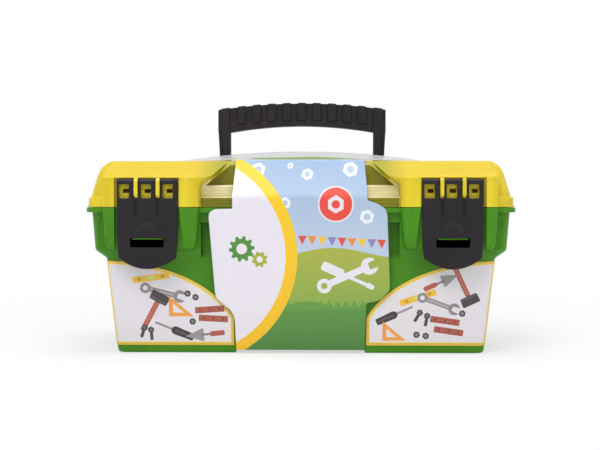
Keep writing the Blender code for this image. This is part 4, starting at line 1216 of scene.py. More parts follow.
@dataclass
class Latch:
    """A dark latch: three windowed fingers, a thumb dome over a slot and a rounded foot."""

    layout: Layout
    side: int
    face: float = -88 * MM
    bar_radius: float = 2.2 * MM
    thickness: float = 3.2 * MM
    foot_sag: float = 9 * MM
    foot_side: float = 18 * MM
    taper: float = 1.2 * MM
    face_turn: float = 1.8 * MM
    rod_radius: float = 1.4 * MM
    groove_width: float = 1.8 * MM
    groove_below: float = 15 * MM
    groove_above: float = 2 * MM
    groove_depth: float = 1.2 * MM
    groove_corner: float = 0.8 * MM
    window_width: float = 8.6 * MM
    window_shift: float = -1 * MM
    window_drop: float = 4.3 * MM
    window_corner: float = 0.5 * MM
    slot_drop: float = 47.2 * MM
    slot_height: float = 7.8 * MM
    slot_width: float = 27 * MM
    slot_corner: float = 1.5 * MM
    dome_proud: float = 1.9 * MM
    dome_depth: float = 5 * MM
    dome_rise_in_mm: float = 17.5
    edge: float = 0.45 * MM

    def plate(self) -> Item:
        """The latch's body: its side profile cut to its front outline."""
        size = self.layout
        middle = self.side * size.latch_x
        axis_y = self.face + self.bar_radius
        axis_z = size.latch_top - self.bar_radius
        finger_base = size.latch_top - size.finger_length
        below = size.latch_foot - OVERRUN
        turns = [math.pi * (1 - i / 12) for i in range(13)]
        radius = self.bar_radius
        bar = [(axis_y + radius * math.cos(a), axis_z + radius * math.sin(a)) for a in turns]
        profile = [
            (self.face, below),
            *bar,
            (self.face + 2 * self.bar_radius, finger_base),
            (self.face + self.thickness, finger_base - self.bar_radius),
            (self.face + self.thickness, below),
        ]
        ends = (middle - size.latch_half - OVERRUN, middle + size.latch_half + OVERRUN)
        body = prism("plate", Plane.SIDE, profile, *ends)
        corner = size.latch_foot + self.foot_sag
        low_half = size.latch_half - self.taper
        arc = []
        for step in range(17):
            share = step / 8 - 1
            arc.append((share * low_half, corner - self.foot_sag * (1 - share**2)))
        half, top = size.latch_half, size.latch_top + OVERRUN
        corners = [(half, top), (-half, top), (-half, corner + self.foot_side)]
        outline = [(middle + x, z) for x, z in [*corners, *arc, (half, corner + self.foot_side)]]
        tool = prism("outline", Plane.FRONT, outline, self.face, size.channel_floor + OVERRUN)
        face = self.face

        def at_face(a: Vector, b: Vector) -> bool:
            """Whether an edge lies round the latch's front."""
            return abs(a.y - face) < TOUCH and abs(b.y - face) < TOUCH

        return shape(body, Join.KEEP, [round_edges(tool, self.face_turn, at_face)])

    def opening(self, x: float, width: float, low: float, high: float, depth: float, radius: float) -> Item:
        """A cutter from in front of the latch to a depth behind its face."""
        outline = rectangle(x - width / 2, x + width / 2, low, high, radius)
        return prism("opening", Plane.FRONT, outline, self.face - OVERRUN, self.face + depth)

    def dome(self) -> Item:
        """The thumb dome, an arch that is cut off flat above the slot."""
        size = self.layout
        base = size.latch_top - self.slot_drop
        bm = bmesh.new()
        bmesh.ops.create_uvsphere(bm, u_segments=40, v_segments=24, radius=1.0)
        depth = self.dome_depth
        for vertex in bm.verts:
            x, y, z = vertex.co
            vertex.co = (
                self.side * size.latch_x + x * self.slot_width / 2,
                self.face - self.dome_proud + depth + z * depth,
                base + y * self.dome_rise_in_mm * MM,
            )
        dome = object_from("dome", bm)
        middle = self.side * size.latch_x
        reach = self.slot_width
        low = (middle - reach, self.face - OVERRUN, base - reach)
        return shape(dome, Join.CUT, [block(low, (middle + reach, self.face + 2 * OVERRUN, base))])

    def build(self) -> None:
        """Make the latch and dress it."""
        size = self.layout
        latch = self.plate()
        latch.name = f"latch_{SIDE_WORDS[self.side]}_moulding"
        through = 2 * self.bar_radius + OVERRUN
        base = size.latch_top - size.finger_length
        above = size.latch_top + OVERRUN
        middle = self.side * size.latch_x
        for x in size.gap_middles(self.side):
            low, high = base - self.groove_below, base + self.groove_above
            groove = self.opening(x, self.groove_width, low, high, self.groove_depth, self.groove_corner)
            shape(latch, Join.CUT, [self.opening(x, size.finger_gap, base, above, through, 0), groove])
        window_top = size.latch_top - self.window_drop
        for x in size.finger_middles(self.side):
            spot = x + self.window_shift
            window = self.opening(spot, self.window_width, base, window_top, through, self.window_corner)
            shape(latch, Join.CUT, [window])
        half = size.latch_half - size.finger_width / 2
        y, z = self.face + self.bar_radius, size.latch_top - self.bar_radius
        pin = rod(y, z, self.rod_radius, middle - half, middle + half)
        shape(latch, Join.ADD, [pin, self.dome()])
        top = size.latch_top - self.slot_drop
        slot = self.opening(middle, self.slot_width, top - self.slot_height, top, through, self.slot_corner)
        shape(latch, Join.CUT, [slot])
        soften(latch, self.edge)
        dress(latch, DARK_PLASTIC.material())
        settle(latch, f"latch_{SIDE_WORDS[self.side]}", "latch_plastic", f"latch_{SIDE_WORDS[self.side]}")


@dataclass
class Handle:
    """The ribbed carry handle with its legs and pivot stubs."""

    layout: Layout
    half_span: float = 73 * MM
    rise: float = 57.8 * MM
    sag: float = 5.5 * MM
    pivot_drop: float = 6 * MM
    leg: float = 10.8 * MM
    taper: float = 2 * MM
    grip: float = 19.7 * MM
    web_depth: float = 8.6 * MM
    flange_depth: float = 10.6 * MM
    panel_depth: float = 12 * MM
    rib_depth: float = 13 * MM
    rib_width: float = 7.4 * MM
    rib_pitch: float = 13.1 * MM
    rib_proud: float = 0.7 * MM
    rib_height: float = 15.2 * MM
    ribs_each_side: int = 4
    foot_radius: float = 5.8 * MM
    stub_radius: float = 3 * MM
    stub_length: float = 3.4 * MM
    flange_margin: float = 1 * MM
    leg_sink: float = 0.1 * MM
    panel_insets: Flat = (0.4 * MM, 2.4 * MM)
    panel_turn: float = 1 * MM
    rib_turn: float = 1.1 * MM
    edge: float = 0.4 * MM
    steps: int = 36

    @property
    def pivot(self) -> float:
        """Height of the handle's axis."""
        return self.layout.lid_top - self.pivot_drop

    @property
    def inner(self) -> float:
        """X of the legs' inner sides."""
        return self.half_span - self.leg

    def crest(self, x: float) -> float:
        """Height of the grip's top."""
        return self.pivot + self.rise - self.sag * (x / self.half_span) ** 2

    def belly(self, x: float) -> float:
        """Height of the grip's underside, level beyond the legs' inner sides."""
        share = min(1.0, abs(x) / self.inner)
        return self.pivot + self.rise - self.grip - self.sag * share**2

    def flat_edge(self, x: float) -> float:
        """Height of the ribs' lower ends, over the flat strip along the underside."""
        return self.crest(x) - self.rib_height

    def beam(self, half: float, depth: float, low: Curve, high: Curve) -> Item:
        """A beam along the grip between two lines.

        Args:
            half: How far it reaches to each side.
            depth: Its size from front to back.
            low: Height of its underside at an X.
            high: Height of its top at an X.

        Returns:
            The solid.
        """
        corners = ((-depth, low), (depth, low), (depth, high), (-depth, high))
        rings = []
        for step in range(self.steps + 1):
            x = half * (2 * step / self.steps - 1)
            rings.append([(x, y, line(x)) for y, line in corners])
        beam = loft("handle_moulding", rings)
        for vertex in beam.data.vertices:
            vertex.co.y /= 2
        return beam

    def rib(self, middle: float) -> Item:
        """One raised rib that follows the crest."""
        half = self.rib_width / 2
        ends = (middle - half, middle + half)
        top = [(x, self.crest(x) + self.rib_proud) for x in reversed(ends)]
        low = [(x, self.flat_edge(x)) for x in ends]
        rib = prism("rib", Plane.FRONT, [*low, *top], -self.rib_depth / 2, self.rib_depth / 2)
        return round_edges(rib, self.rib_turn, lambda a, b: True)

    def leg_solid(self, side: int, near: float, far: float, depth: float, top: Curve) -> Item:
        """A leg or its raised panel, whose outer side leans in towards the pivot.

        Args:
            side: -1 for the left leg and 1 for the right one.
            near: X of the inner side.
            far: X of the outer side at the top.
            depth: Its size from front to back.
            top: Height of its top at an X.

        Returns:
            The solid.
        """
        half = depth / 2
        low_far = far - self.taper
        low = [(near, self.pivot), (low_far, self.pivot)]
        high = [(near, top(near)), (far, top(far))]
        rings = []
        for (x0, z0), (x1, z1) in (low, high):
            ring = ((x0, -half, z0), (x1, -half, z1), (x1, half, z1), (x0, half, z0))
            rings.append([(side * x, y, z) for x, y, z in ring])
        return loft("leg", rings)

    def build(self) -> None:
        """Make the handle and dress it."""
        handle = self.beam(self.half_span, self.web_depth, self.belly, self.crest)
        flange = self.beam(self.half_span - self.flange_margin, self.flange_depth, self.belly, self.flat_edge)
        shape(handle, Join.ADD, [flange])
        places = range(-self.ribs_each_side, self.ribs_each_side + 1)
        shape(handle, Join.ADD, [self.rib(place * self.rib_pitch) for place in places])
        pivot, proud = self.pivot, self.rib_proud
        for side in SIDES:
            depth = self.web_depth - self.leg_sink
            leg = self.leg_solid(side, self.inner, self.half_span, depth, self.flat_edge)
            near, far = self.inner + self.panel_insets[0], self.half_span - self.panel_insets[1]
            panel = self.leg_solid(side, near, far, self.panel_depth, lambda x: self.crest(x) + proud)
            round_edges(panel, self.panel_turn, lambda a, b: max(a.z, b.z) > pivot + OVERRUN)
            foot_ends = sorted((side * self.inner, side * (self.half_span - self.taper)))
            foot = rod(0, pivot, self.foot_radius, *foot_ends)
            root, tip = self.half_span - self.leg / 2, self.half_span + self.stub_length
            stub = rod(0, pivot, self.stub_radius, *sorted((side * root, side * tip)))
            shape(handle, Join.ADD, [leg, panel, foot, stub])
        soften(handle, self.edge)
        dress(handle, DARK_PLASTIC.material())
        settle(handle, "handle", "handle_plastic", "handle")


@dataclass(frozen=True)
class Patch:
    """An area of ink that may fade from one height of the print to another."""

    outline: Sequence[Flat]
    ink: str
    fade_to: str = ""
    fade_from_v: float = 0.0
    fade_to_v: float = 1.0

    def colour(self, v: float) -> tuple[float, float, float, float]:
        """The ink at a height of the print."""
        first = linear(self.ink)
        if not self.fade_to:
            return (*first, 1.0)
        share = (v - self.fade_from_v) / (self.fade_to_v - self.fade_from_v)
        share = max(0.0, min(1.0, share))
        return (*(a + (b - a) * share for a, b in zip(first, linear(self.fade_to))), 1.0)


@dataclass
class PrintedSheet:
    """A sheet whose print is laid out flat and whose areas of ink are real faces."""

    INK = "ink"
    BEND = math.radians(25)
    outline: Sequence[Flat]
    patches: list[Patch]
    place: Callable[[float, float], Point]
    thickness: float
    folds: Sequence[float] = ()
    windows: Sequence[Sequence[Flat]] = ()
    pitch: float = 7 * MM

    def mesh(self, name: str) -> Item:
        """The sheet as an object, with a back and edges of bare board."""
        outlines = [self.outline, *(patch.outline for patch in self.patches), *self.windows]
        areas = [self.stepped(outline) for outline in outlines]
        window_ids = set(range(1 + len(self.patches), len(areas)))
        verts: list[Vector] = []
        loops: list[list[int]] = []
        for area in areas:
            turn = sum(a[0] * b[1] - b[0] * a[1] for a, b in zip(area, [*area[1:], area[0]]))
            ordered = area if turn > 0 else area[::-1]
            loops.append(list(range(len(verts), len(verts) + len(ordered))))
            verts.extend(Vector(point) for point in ordered)
        us = [u for u, _ in self.outline]
        vs = [v for _, v in self.outline]
        edges = []
        for v in self.folds:
            edges.append((len(verts), len(verts) + 1))
            verts.extend((Vector((min(us) - self.pitch, v)), Vector((max(us) + self.pitch, v))))
        for i in range(1, math.ceil((max(us) - min(us)) / self.pitch)):
            for j in range(1, math.ceil((max(vs) - min(vs)) / self.pitch)):
                verts.append(Vector((min(us) + i * self.pitch, min(vs) + j * self.pitch)))
        flat, _, faces, _, _, owners = delaunay_2d_cdt(verts, edges, loops, 1, 1e-7)
        kept = [(f, o) for f, o in zip(faces, owners) if 0 in o and not window_ids & set(o)]
        mesh = bpy.data.meshes.new(name)
        mesh.from_pydata([self.place(p.x, p.y) for p in flat], [], [f for f, _ in kept])
        ink = mesh.color_attributes.new(self.INK, "FLOAT_COLOR", "CORNER")
        for face, (corners, owner) in zip(mesh.polygons, kept):
            top = max(owner)
            for loop, corner in zip(face.loop_indices, corners):
                patch = self.patches[max(top, 1) - 1]
                ink.data[loop].color = patch.colour(flat[corner].y)
        item = bpy.data.objects.new(name, mesh)
        bpy.context.scene.collection.objects.link(item)
        self.drop_loose(item)
        board = item.modifiers.new("board", "SOLIDIFY")
        board.thickness = self.thickness
        board.offset = 1.0
        board.material_offset = 1
        board.material_offset_rim = 1
        board.use_even_offset = True
        normals = item.modifiers.new("even shading", "WEIGHTED_NORMAL")
        normals.keep_sharp = True
        normals.weight = 100
        return item

    def stepped(self, outline: Sequence[Flat]) -> list[Flat]:
        """The outline with points along its long edges, so that it can bend with the sheet."""
        points = []
        for near, far in zip(outline, [*outline[1:], outline[0]]):
            steps = max(1, round(math.dist(near, far) / self.pitch))
            points += [tuple(a + (b - a) * i / steps for a, b in zip(near, far)) for i in range(steps)]
        return points

    def drop_loose(self, item: Item) -> None:
        """Remove points that no face uses and smooth the gentle bends."""
        bm = bmesh.new()
        bm.from_mesh(item.data)
        bmesh.ops.delete(bm, geom=[v for v in bm.verts if not v.link_faces], context="VERTS")
        bm.to_mesh(item.data)
        bm.free()
        item.data.shade_smooth()
        item.data.set_sharp_from_angle(angle=self.BEND)


def moved(outline: Iterable[Flat], u: float, v: float, turn: float = 0.0, scale: float = 1.0) -> list[Flat]:
    """An outline in millimetres turned by degrees, scaled and put in place in metres."""
    c = math.cos(math.radians(turn)) * scale * MM
    s = math.sin(math.radians(turn)) * scale * MM
    return [(u * MM + x * c - y * s, v * MM + x * s + y * c) for x, y in outline]


def bar(x0: float, x1: float, width: float, radius: float = -1.0) -> list[Flat]:
    """A bar along the first axis, with round ends unless a radius is given."""
    half = width / 2
    return rectangle(x0, x1, -half, half, half if radius < 0 else radius, 3)


def gear(radius: float, teeth: int) -> list[Flat]:
    """A gear wheel's outline."""
    points = []
    for i in range(teeth * 4):
        reach = radius if i % 4 < 2 else radius * 0.78
        angle = 2 * math.pi * (i + (0.35 if i % 2 else 0.0)) / (teeth * 4)
        points.append((reach * math.cos(angle), reach * math.sin(angle)))
    return points


class Motif(Enum):
    """Small pictures of plain tools, each drawn round its middle in millimetres."""

    SPANNER = "spanner"
    MALLET = "mallet"
    DRIVER = "driver"
    TRIANGLE = "triangle"
    PLANK = "plank"
    BOLT = "bolt"
    NUT = "nut"
    LEVEL = "level"
    TROWEL = "trowel"

    def shapes(self, paper: str = "E8E3E8") -> list[tuple[list[Flat], str]]:
        """The outlines and inks of the picture, in the order of printing."""
        if self is Motif.SPANNER:
            notch = [(12.2, -1.9), (20, -2.6), (20, 2.6), (12.2, 1.9)]
            return [
                (bar(-15, 15, 4.2), "8F8689"),
                (bar(-13, 10, 1.4), "B9B1B4"),
                (circle(14, 0, 5.2, 20), "8F8689"),
                (notch, paper),
                (circle(-15, 0, 4.4, 20), "8F8689"),
                (circle(-15, 0, 2.2, 6), paper),
            ]
        if self is Motif.MALLET:
            head = [(9.5, -8), (18, -8.6), (18, 8.6), (9.5, 8)]
            return [
                (bar(-19, 13, 4.6), "B4553F"),
                (bar(-18, 8, 1.3), "C9705A"),
                (rounded_polygon(head, 1.4), "3B3539"),
                (rectangle(10.6, 12, -7, 7, 0.4), "5A5258"),
            ]
        if self is Motif.DRIVER:
            return [
                (bar(0, 17, 1.9, 0.4), "9B9295"),
                (
                    rounded_polygon(
                        [(-17, -2.8), (0, -3.4), (2.5, -1.6), (2.5, 1.6), (0, 3.4), (-17, 2.8)], 1.2
                    ),
                    "322C31",
                ),
                (bar(-15, -1, 1.1), "5D555B"),
            ]
        if self is Motif.TRIANGLE:
            return [
                (rounded_polygon([(-11, -8), (13, -8), (-11, 12)], 1.0), "F2A13B"),
                (rounded_polygon([(-7, -4.4), (3.4, -4.4), (-7, 4.4)], 0.6), paper),
            ]
        if self is Motif.PLANK:
            holes = [(circle(x, 0, 0.8, 12), "5A281E") for x in (-8, 0, 8)]
            wood = (rectangle(-12, 12, -2.6, 2.6, 0.5), "A94F3A")
            return [wood, (bar(-11, 11, 0.5, 0.1), "BF6650"), *holes]
        if self is Motif.BOLT:
            return [
                (bar(-6, 3, 2.9, 0.4), "3B3539"),
                (circle(3.4, 0, 3.1, 6), "3B3539"),
                (circle(3.4, 0, 1.4, 12), "6A6268"),
            ]
        if self is Motif.NUT:
            return [(circle(0, 0, 3.2, 6), "332D32"), (circle(0, 0, 1.5, 14), "8A8288")]
        if self is Motif.LEVEL:
            return [
                (rectangle(-17, 17, -2.9, 2.9, 0.8), "F4C22E"),
                (rectangle(-4, 4, -1.3, 1.3, 0.6), "CBE37A"),
                (rectangle(-12.5, -9, -1.4, 1.4, 0.6), "C79A1D"),
                (rectangle(9, 12.5, -1.4, 1.4, 0.6), "C79A1D"),
            ]
        return [
            (rounded_polygon([(3, -6), (19, 0), (3, 6)], 1.6), "9B9295"),
            (bar(-3, 5, 1.8, 0.2), "7B7276"),
            (bar(-15, -2, 4.4), "B4553F"),
        ]

    def patches(self, u: float, v: float, turn: float = 0.0, scale: float = 1.0) -> list[Patch]:
        """The picture in its place on a print."""
        return [Patch(moved(outline, u, v, turn, scale), ink) for outline, ink in self.shapes()]


@dataclass
class Wrap:
    """The printed card: a front panel that swings at the crease and a top panel with a window."""

    layout: Layout
    board: float = 0.8 * MM
    foot: Flat = (-68.6 * MM, 3 * MM)
    bend: Flat = (-81.9 * MM, 127.8 * MM)
    waist: Flat = (-76.3 * MM, 137.3 * MM)
    crease: Flat = (-63.8 * MM, 158 * MM)
    bend_turns: Flat = (3 * MM, 2.5 * MM)
    window_half: float = 75.6 * MM
    window_front: float = -8.6 * MM
    window_back: float = 60 * MM
    window_corner: float = 2 * MM
    top_pitch: float = 5 * MM
    tail_fold: float = 62.5 * MM
    bulge: float = 9 * MM
    bow: float = 0.9 * MM
    bow_half: float = 74 * MM
    bow_drop: float = 2 * MM
    wing: tuple[Flat, ...] = (
        (52.5, -63.8), (69, -45), (89, -25.4), (108.2, -9), (108.2, 8.2),
        (104, 25), (95.6, 42), (82.2, 59), (82.2, 66),
    )
    profile: list[Flat] = field(default_factory=list)

    def __post_init__(self) -> None:
        """Work out the side view of the front panel, from its crease down to its foot."""
        self.profile = eased([self.crease, self.waist, self.bend, self.foot], [0, *self.bend_turns, 0], 4)

    def front_place(self, x: float, z: float) -> Point:
        """Where a point of the front panel lies."""
        y = self.profile[-1][0]
        for (y0, z0), (y1, z1) in zip(self.profile, self.profile[1:]):
            if z >= z1:
                y = y0 + (y1 - y0) * (z - z0) / (z1 - z0)
                break
        flat_top = self.bend[1] - self.bow_drop
        if z < flat_top:
            rise = math.sin(math.pi * (flat_top - z) / (flat_top - self.foot[1]))
            y -= self.bow * rise * max(0.0, 1 - (x / self.bow_half) ** 2)
        return (x, y, z)

    def front_outline(self) -> list[Flat]:
        """The cut edge of the front panel, anticlockwise from its lower right corner."""
        right = [
            (52.2, 3), (54, 41.7), (64, 43.6), (73, 52.2),
            (70.4, 113.9), (69.1, 118.4), (63.6, 122.2), (54.4, 125.4),
        ]
        top = [(54.5, 127.8), (52.5, 158), (-52.5, 158), (-54.5, 127.8)]
        left = [(-54.4, 118.5), (-68.8, 118.1), (-73, 115.5), (-73.6, 112.2), (-68.8, 46.1), (-62.2, 40.4)]
        left += [(-57, 36.1), (-53.3, 29.8), (-52.2, 3)]
        radii = [0.6, 0.6, 4, 4, 2, 2.5, 4, 0.4, 0.3, 0.3, 0.3, 0.3, 0.5, 1.5, 2, 2, 5, 3, 2, 3, 0.6]
        return [(x * MM, z * MM) for x, z in rounded_polygon([*right, *top, *left], radii, 5)]

    def front_print(self) -> list[Patch]:
        """The print of the front panel: fields of colour with plain workshop motifs."""
        spread = [x * 4.0 for x in range(-20, 21)]
        hill = [(x, 83 + 4 * math.sin(x / 17.0)) for x in spread]
        low_hill = [(x, 40 + 3 * math.sin(x / 11.0 + 1)) for x in spread]
        ground = [(80, -2), (-80, -2)]
        white = "EEE8F2"
        red = "EE4B38"
        art = [
            Patch(moved(rectangle(-80, 80, 0, 165, 0), 0, 0), "9FB8D8", "BFD0E6", 155 * MM, 90 * MM),
            Patch(moved([*hill, *ground], 0, 0), "AEB444", "8FAE45", 84 * MM, 45 * MM),
            Patch(moved([*low_hill, *ground], 0, 0), "5C973D", "4B8237", 44 * MM, 5 * MM),
        ]
        spots = ((-34, 150, 6), (6, 146, 5), (41, 150, 6.5), (-12, 123, 5), (54, 112, 6), (-8, 153, 2.6))
        for x, z, r in spots:
            art.append(Patch(moved(circle(0, 0, r, 6, 0.3), x, z), "F2F5FC"))
            art.append(Patch(moved(circle(0, 0, r * 0.45, 20), x, z), "B4CBEA"))
        for i in range(9):
            x = 2 + i * 8.0
            ink = ("E2533A", "F0923A", "F6C92C", "8E86BE")[i % 4]
            flag = [(x - 3.6, 97 - 0.05 * x), (x + 3.6, 96.8 - 0.05 * x), (x, 89.5 - 0.05 * x)]
            art.append(Patch(moved(flag, 0, 0), ink))
        teeth = [(x * 3.4, (44.5 if i % 2 else 38.5)) for i, x in enumerate(range(-12, 19))]
        base = (teeth[-1][0], 36), (teeth[0][0], 36)
        art.append(Patch(moved([*teeth, *base], 0, 0), "6FA544", "5C973D", 46 * MM, 36 * MM))
        art += self.crossed_tools(white)
        art += [
            Patch(moved(circle(-92, 80, 90, 96), 0, 0), "FFD21A", "FBC40C", 140 * MM, 20 * MM),
            Patch(moved(circle(-93.5, 80, 82, 96), 0, 0), white),
            Patch(moved(circle(0, 0, 14.4, 48), 29, 122), white),
            Patch(moved(circle(0, 0, 13.2, 48), 29, 122), red),
            Patch(moved(circle(0, 0, 7.2, 6, 0.5), 29, 122), white),
            Patch(moved(circle(0, 0, 3.4, 24), 29, 122), red),
            Patch(moved(gear(10.5, 10), -47, 86), "4F8F33"),
            Patch(moved(circle(0, 0, 4.4, 24), -47, 86), white),
            Patch(moved(gear(6.6, 8), -32.6, 77.5, 12), "A9B32F"),
            Patch(moved(circle(0, 0, 2.6, 20), -32.6, 77.5), white),
        ]
        return art

    def crossed_tools(self, ink: str) -> list[Patch]:
        """A plain spanner crossed by a screwdriver in one ink."""
        olive = "A3B146"
        spanner = [bar(-20, 20, 5.4), circle(20, 0, 7, 28), circle(-20, 0, 6, 28)]
        blade = [(18, -2.4), (24, -1.6), (24, 1.6), (18, 2.4)]
        driver = [bar(-22, -3, 7.6, 2.4), bar(-5, 20, 2.8, 0.4), blade]
        art = [Patch(moved(outline, 38, 64, 24), ink) for outline in spanner]
        art.append(Patch(moved([(19.5, -2.8), (30, -3.6), (30, 3.6), (19.5, 2.8)], 38, 64, 24), olive))
        art.append(Patch(moved(circle(-20, 0, 2.8, 6), 38, 64, 24), olive))
        art += [Patch(moved(outline, 38, 64, -24), ink) for outline in driver]
        return art

    def lift(self, x: float, y: float) -> float:
        """How far the top panel stands over the lid."""
        front, window, back = self.crease[0], self.window_front, self.tail_fold - 4 * MM
        if y <= window:
            rise = 0.95 * max(0.0, (y - front) / (window - front)) ** 0.85
        else:
            rise = 0.95 * (1 + math.cos(math.pi * min(1.0, (y - window) / (back - window)))) / 2
        half = self.wing[-1][0] * MM
        for (x0, y0), (x1, y1) in zip(self.wing, self.wing[1:]):
            if y <= y1 * MM:
                half = (x0 + (x1 - x0) * max(0.0, y / MM - y0) / (y1 - y0)) * MM
                break
        return self.bulge * rise * max(0.0, 1 - (x / half) ** 2)

    def top_place(self, x: float, y: float) -> Point:
        """Where a point of the top panel lies, with the tail bent down over the back edge."""
        z = self.crease[1] + self.lift(x, y)
        if y > self.tail_fold:
            z -= (y - self.tail_fold) * 0.945
        return (x, y, z)

    def top_outline(self) -> list[Flat]:
        """The cut edge of the top panel, anticlockwise from its front right corner."""
        radii = [0.3, 12, 12, 8, 8, 12, 12, 4, 1.5]
        corners = [*self.wing, *((-x, y) for x, y in reversed(self.wing))]
        return [(x * MM, y * MM) for x, y in rounded_polygon(corners, [*radii, *reversed(radii)], 5)]

    def top_print(self) -> list[Patch]:
        """The print of the top panel: pale, with the fields of the front running on over the crease."""
        spread = [x * 4.0 for x in range(-10, 13)]
        field_edge = [(x, -52 + 2 * math.sin(x / 9.0)) for x in reversed(spread)]
        return [
            Patch(moved(rectangle(-120, 120, -80, 80, 0), 0, 0), "C6C4C5"),
            Patch(moved([(-41, -70), (49, -70), *field_edge], 0, 0), "7F9B3E"),
            Patch(moved([(-55, -70), (-48, -70), (-50, -52), (-57, -52)], 0, 0), "F3C81C"),
            Patch(moved(rectangle(-100, 100, 61, 61.8, 0), 0, 0), "C9CDD2"),
        ]

    def build(self) -> None:
        """Make both panels and dress them."""
        inks = Printed("printed_card", 0.42, 0.25).material()
        back = Board().material()
        folds = [z for _, z in self.profile[1:-1]]
        front = PrintedSheet(self.front_outline(), self.front_print(), self.front_place, self.board, folds)
        half = self.window_half
        window = rectangle(-half, half, self.window_front, self.window_back, self.window_corner)
        folds = [self.tail_fold]
        outline, patches = self.top_outline(), self.top_print()
        top = PrintedSheet(outline, patches, self.top_place, self.board, folds, [window], self.top_pitch)
        for sheet, name, body in ((front, "card_front", "sleeve_front"), (top, "card_top", "lid")):
            panel = sheet.mesh(name)
            dress(panel, inks, back)
            settle(panel, body, "printed_card", "sleeve_front" if body == "sleeve_front" else "sleeve_top")


@dataclass
class Stickers:
    """The two stickers that wrap round the tub's lower corners, with small pictures of tools."""

    layout: Layout
    thickness: float = 0.3 * MM
    border: float = 3.1 * MM
    gap: float = 0.3 * MM
    base: float = 6.5 * MM
    top: float = 75.8 * MM
    inner: float = 54 * MM
    round_the_corner: float = 7 * MM
    arc_middle: float = 159.1 * MM
    arc_spare: float = 6 * MM
    arc_steps: int = 24
    pale_share: float = 0.8
    least_lean: float = 0.35
    gold_fade: Flat = (10 * MM, 75 * MM)
    pitch: float = 2.5 * MM

    def flat_end(self, z: float) -> float:
        """X at which the tub's front wall starts to turn round its corner."""
        size = self.layout
        inset = size.body_base_inset + (size.body_top_inset - size.body_base_inset) * z / size.body_top
        return size.half_length - inset - size.body_corner

    def outline(self, inset: float) -> list[Flat]:
        """Half of the stickers, on the right, laid out flat and shrunk by an inset."""
        rise = self.top - self.base
        reach = self.arc_middle - self.inner + self.arc_spare
        start = math.acos((self.arc_middle - self.inner) / reach)
        outer_top = self.flat_end(self.top) + self.round_the_corner
        stop = math.acos((self.arc_middle - outer_top) / reach)
        points = [(self.flat_end(self.base) + self.round_the_corner, self.base), (self.inner, self.base)]
        for step in range(self.arc_steps + 1):
            angle = start + (stop - start) * step / self.arc_steps
            points.append((self.arc_middle - reach * math.cos(angle), self.base + rise * math.sin(angle)))
        if not inset:
            return points
        return self.shrunk(points, inset)

    def shrunk(self, points: list[Flat], inset: float) -> list[Flat]:
        """The outline moved inwards by an inset along its edges' normals."""
        result = []
        count = len(points)
        for i, (x, z) in enumerate(points):
            before = Vector(points[i]) - Vector(points[i - 1])
            after = Vector(points[(i + 1) % count]) - Vector(points[i])
            first = Vector((before.y, -before.x)).normalized()
            second = Vector((after.y, -after.x)).normalized()
            both = (first + second).normalized()
            reach = inset / max(self.least_lean, both.dot(first))
            result.append((x + both.x * reach, z + both.y * reach))
        return result

    def place(self, x: float, z: float) -> Point:
        """Where a point of a sticker lies on the tub's sloping wall and its round corner."""
        size = self.layout
        share = z / size.body_top
        inset = size.front_base_inset + (size.front_top_inset - size.front_base_inset) * share
        front = inset - size.half_depth
        end = self.flat_end(z)
        beyond = abs(x) - end
        if beyond <= 0:
            return (x, front - self.gap, z)
        turn = beyond / size.body_corner
        reach = size.body_corner + self.gap
        along = math.copysign(end + reach * math.sin(turn), x)
        return (along, front + size.body_corner - reach * math.cos(turn), z)

    def pictures(self, side: int) -> list[Patch]:
        """The tools of one sticker."""
        if side < 0:
            rows = [
                (Motif.LEVEL, -122, 62, 8, 0.9),
                (Motif.SPANNER, -112, 50, -14, 1.0),
                (Motif.MALLET, -121, 34, 62, 0.95),
                (Motif.TRIANGLE, -98, 37, 0, 0.85),
                (Motif.DRIVER, -103, 19, 158, 1.0),
                (Motif.PLANK, -74, 36, 4, 1.0),
                (Motif.PLANK, -71, 28.5, -3, 1.0),
                (Motif.TROWEL, -76, 15.5, 186, 0.95),
                (Motif.BOLT, -128.5, 18, 70, 0.9),
                (Motif.BOLT, -122, 16, 95, 0.9),
                (Motif.NUT, -88, 26, 0, 0.9),
                (Motif.NUT, -92, 49, 0, 0.9),
                (Motif.NUT, -85.5, 46, 20, 0.9),
            ]
        else:
            rows = [
                (Motif.MALLET, 133, 55, -65, 0.9),
                (Motif.TROWEL, 113, 58, 24, 0.9),
                (Motif.LEVEL, 96, 46, 18, 0.9),
                (Motif.SPANNER, 113, 41, -20, 0.95),
                (Motif.DRIVER, 77, 32, 24, 0.95),
                (Motif.TRIANGLE, 76, 17, 0, 0.8),
                (Motif.PLANK, 118, 27, -8, 1.0),
                (Motif.PLANK, 121, 18.5, -8, 1.0),
                (Motif.BOLT, 96, 31, 60, 0.9),
                (Motif.BOLT, 103, 28, 80, 0.9),
                (Motif.NUT, 95, 15.5, 0, 0.9),
                (Motif.NUT, 102.5, 14.5, 20, 0.9),
                (Motif.NUT, 132, 33, 10, 0.9),
            ]
        return [patch for motif, *spot in rows for patch in motif.patches(*spot)]

    def build(self) -> None:
        """Make both stickers and dress them."""
        inks = Printed("sticker_paper", 0.3, 0.5).material()
        edge = Board("sticker_edge", "E6E3E0", "D5D1CC").material()
        for side in SIDES:
            outline = [(side * x, z) for x, z in self.outline(0)]
            field_outline = [(side * x, z) for x, z in self.outline(self.border)]
            gold = Patch(outline, "E8BD35", "F2CB4A", *self.gold_fade)
            pale = Patch([(side * x, z) for x, z in self.outline(self.border * self.pale_share)], "F3E7B8")
            paper = Patch(field_outline, "E8E3E8")
            inks_laid = [gold, pale, paper, *self.pictures(side)]
            sheet = PrintedSheet(outline, inks_laid, self.place, self.thickness, pitch=self.pitch)
            label = sheet.mesh(f"sticker_{SIDE_WORDS[side]}")
            dress(label, inks, edge)
            settle(label, "tub", "sticker_paper", f"label_{SIDE_WORDS[side]}")


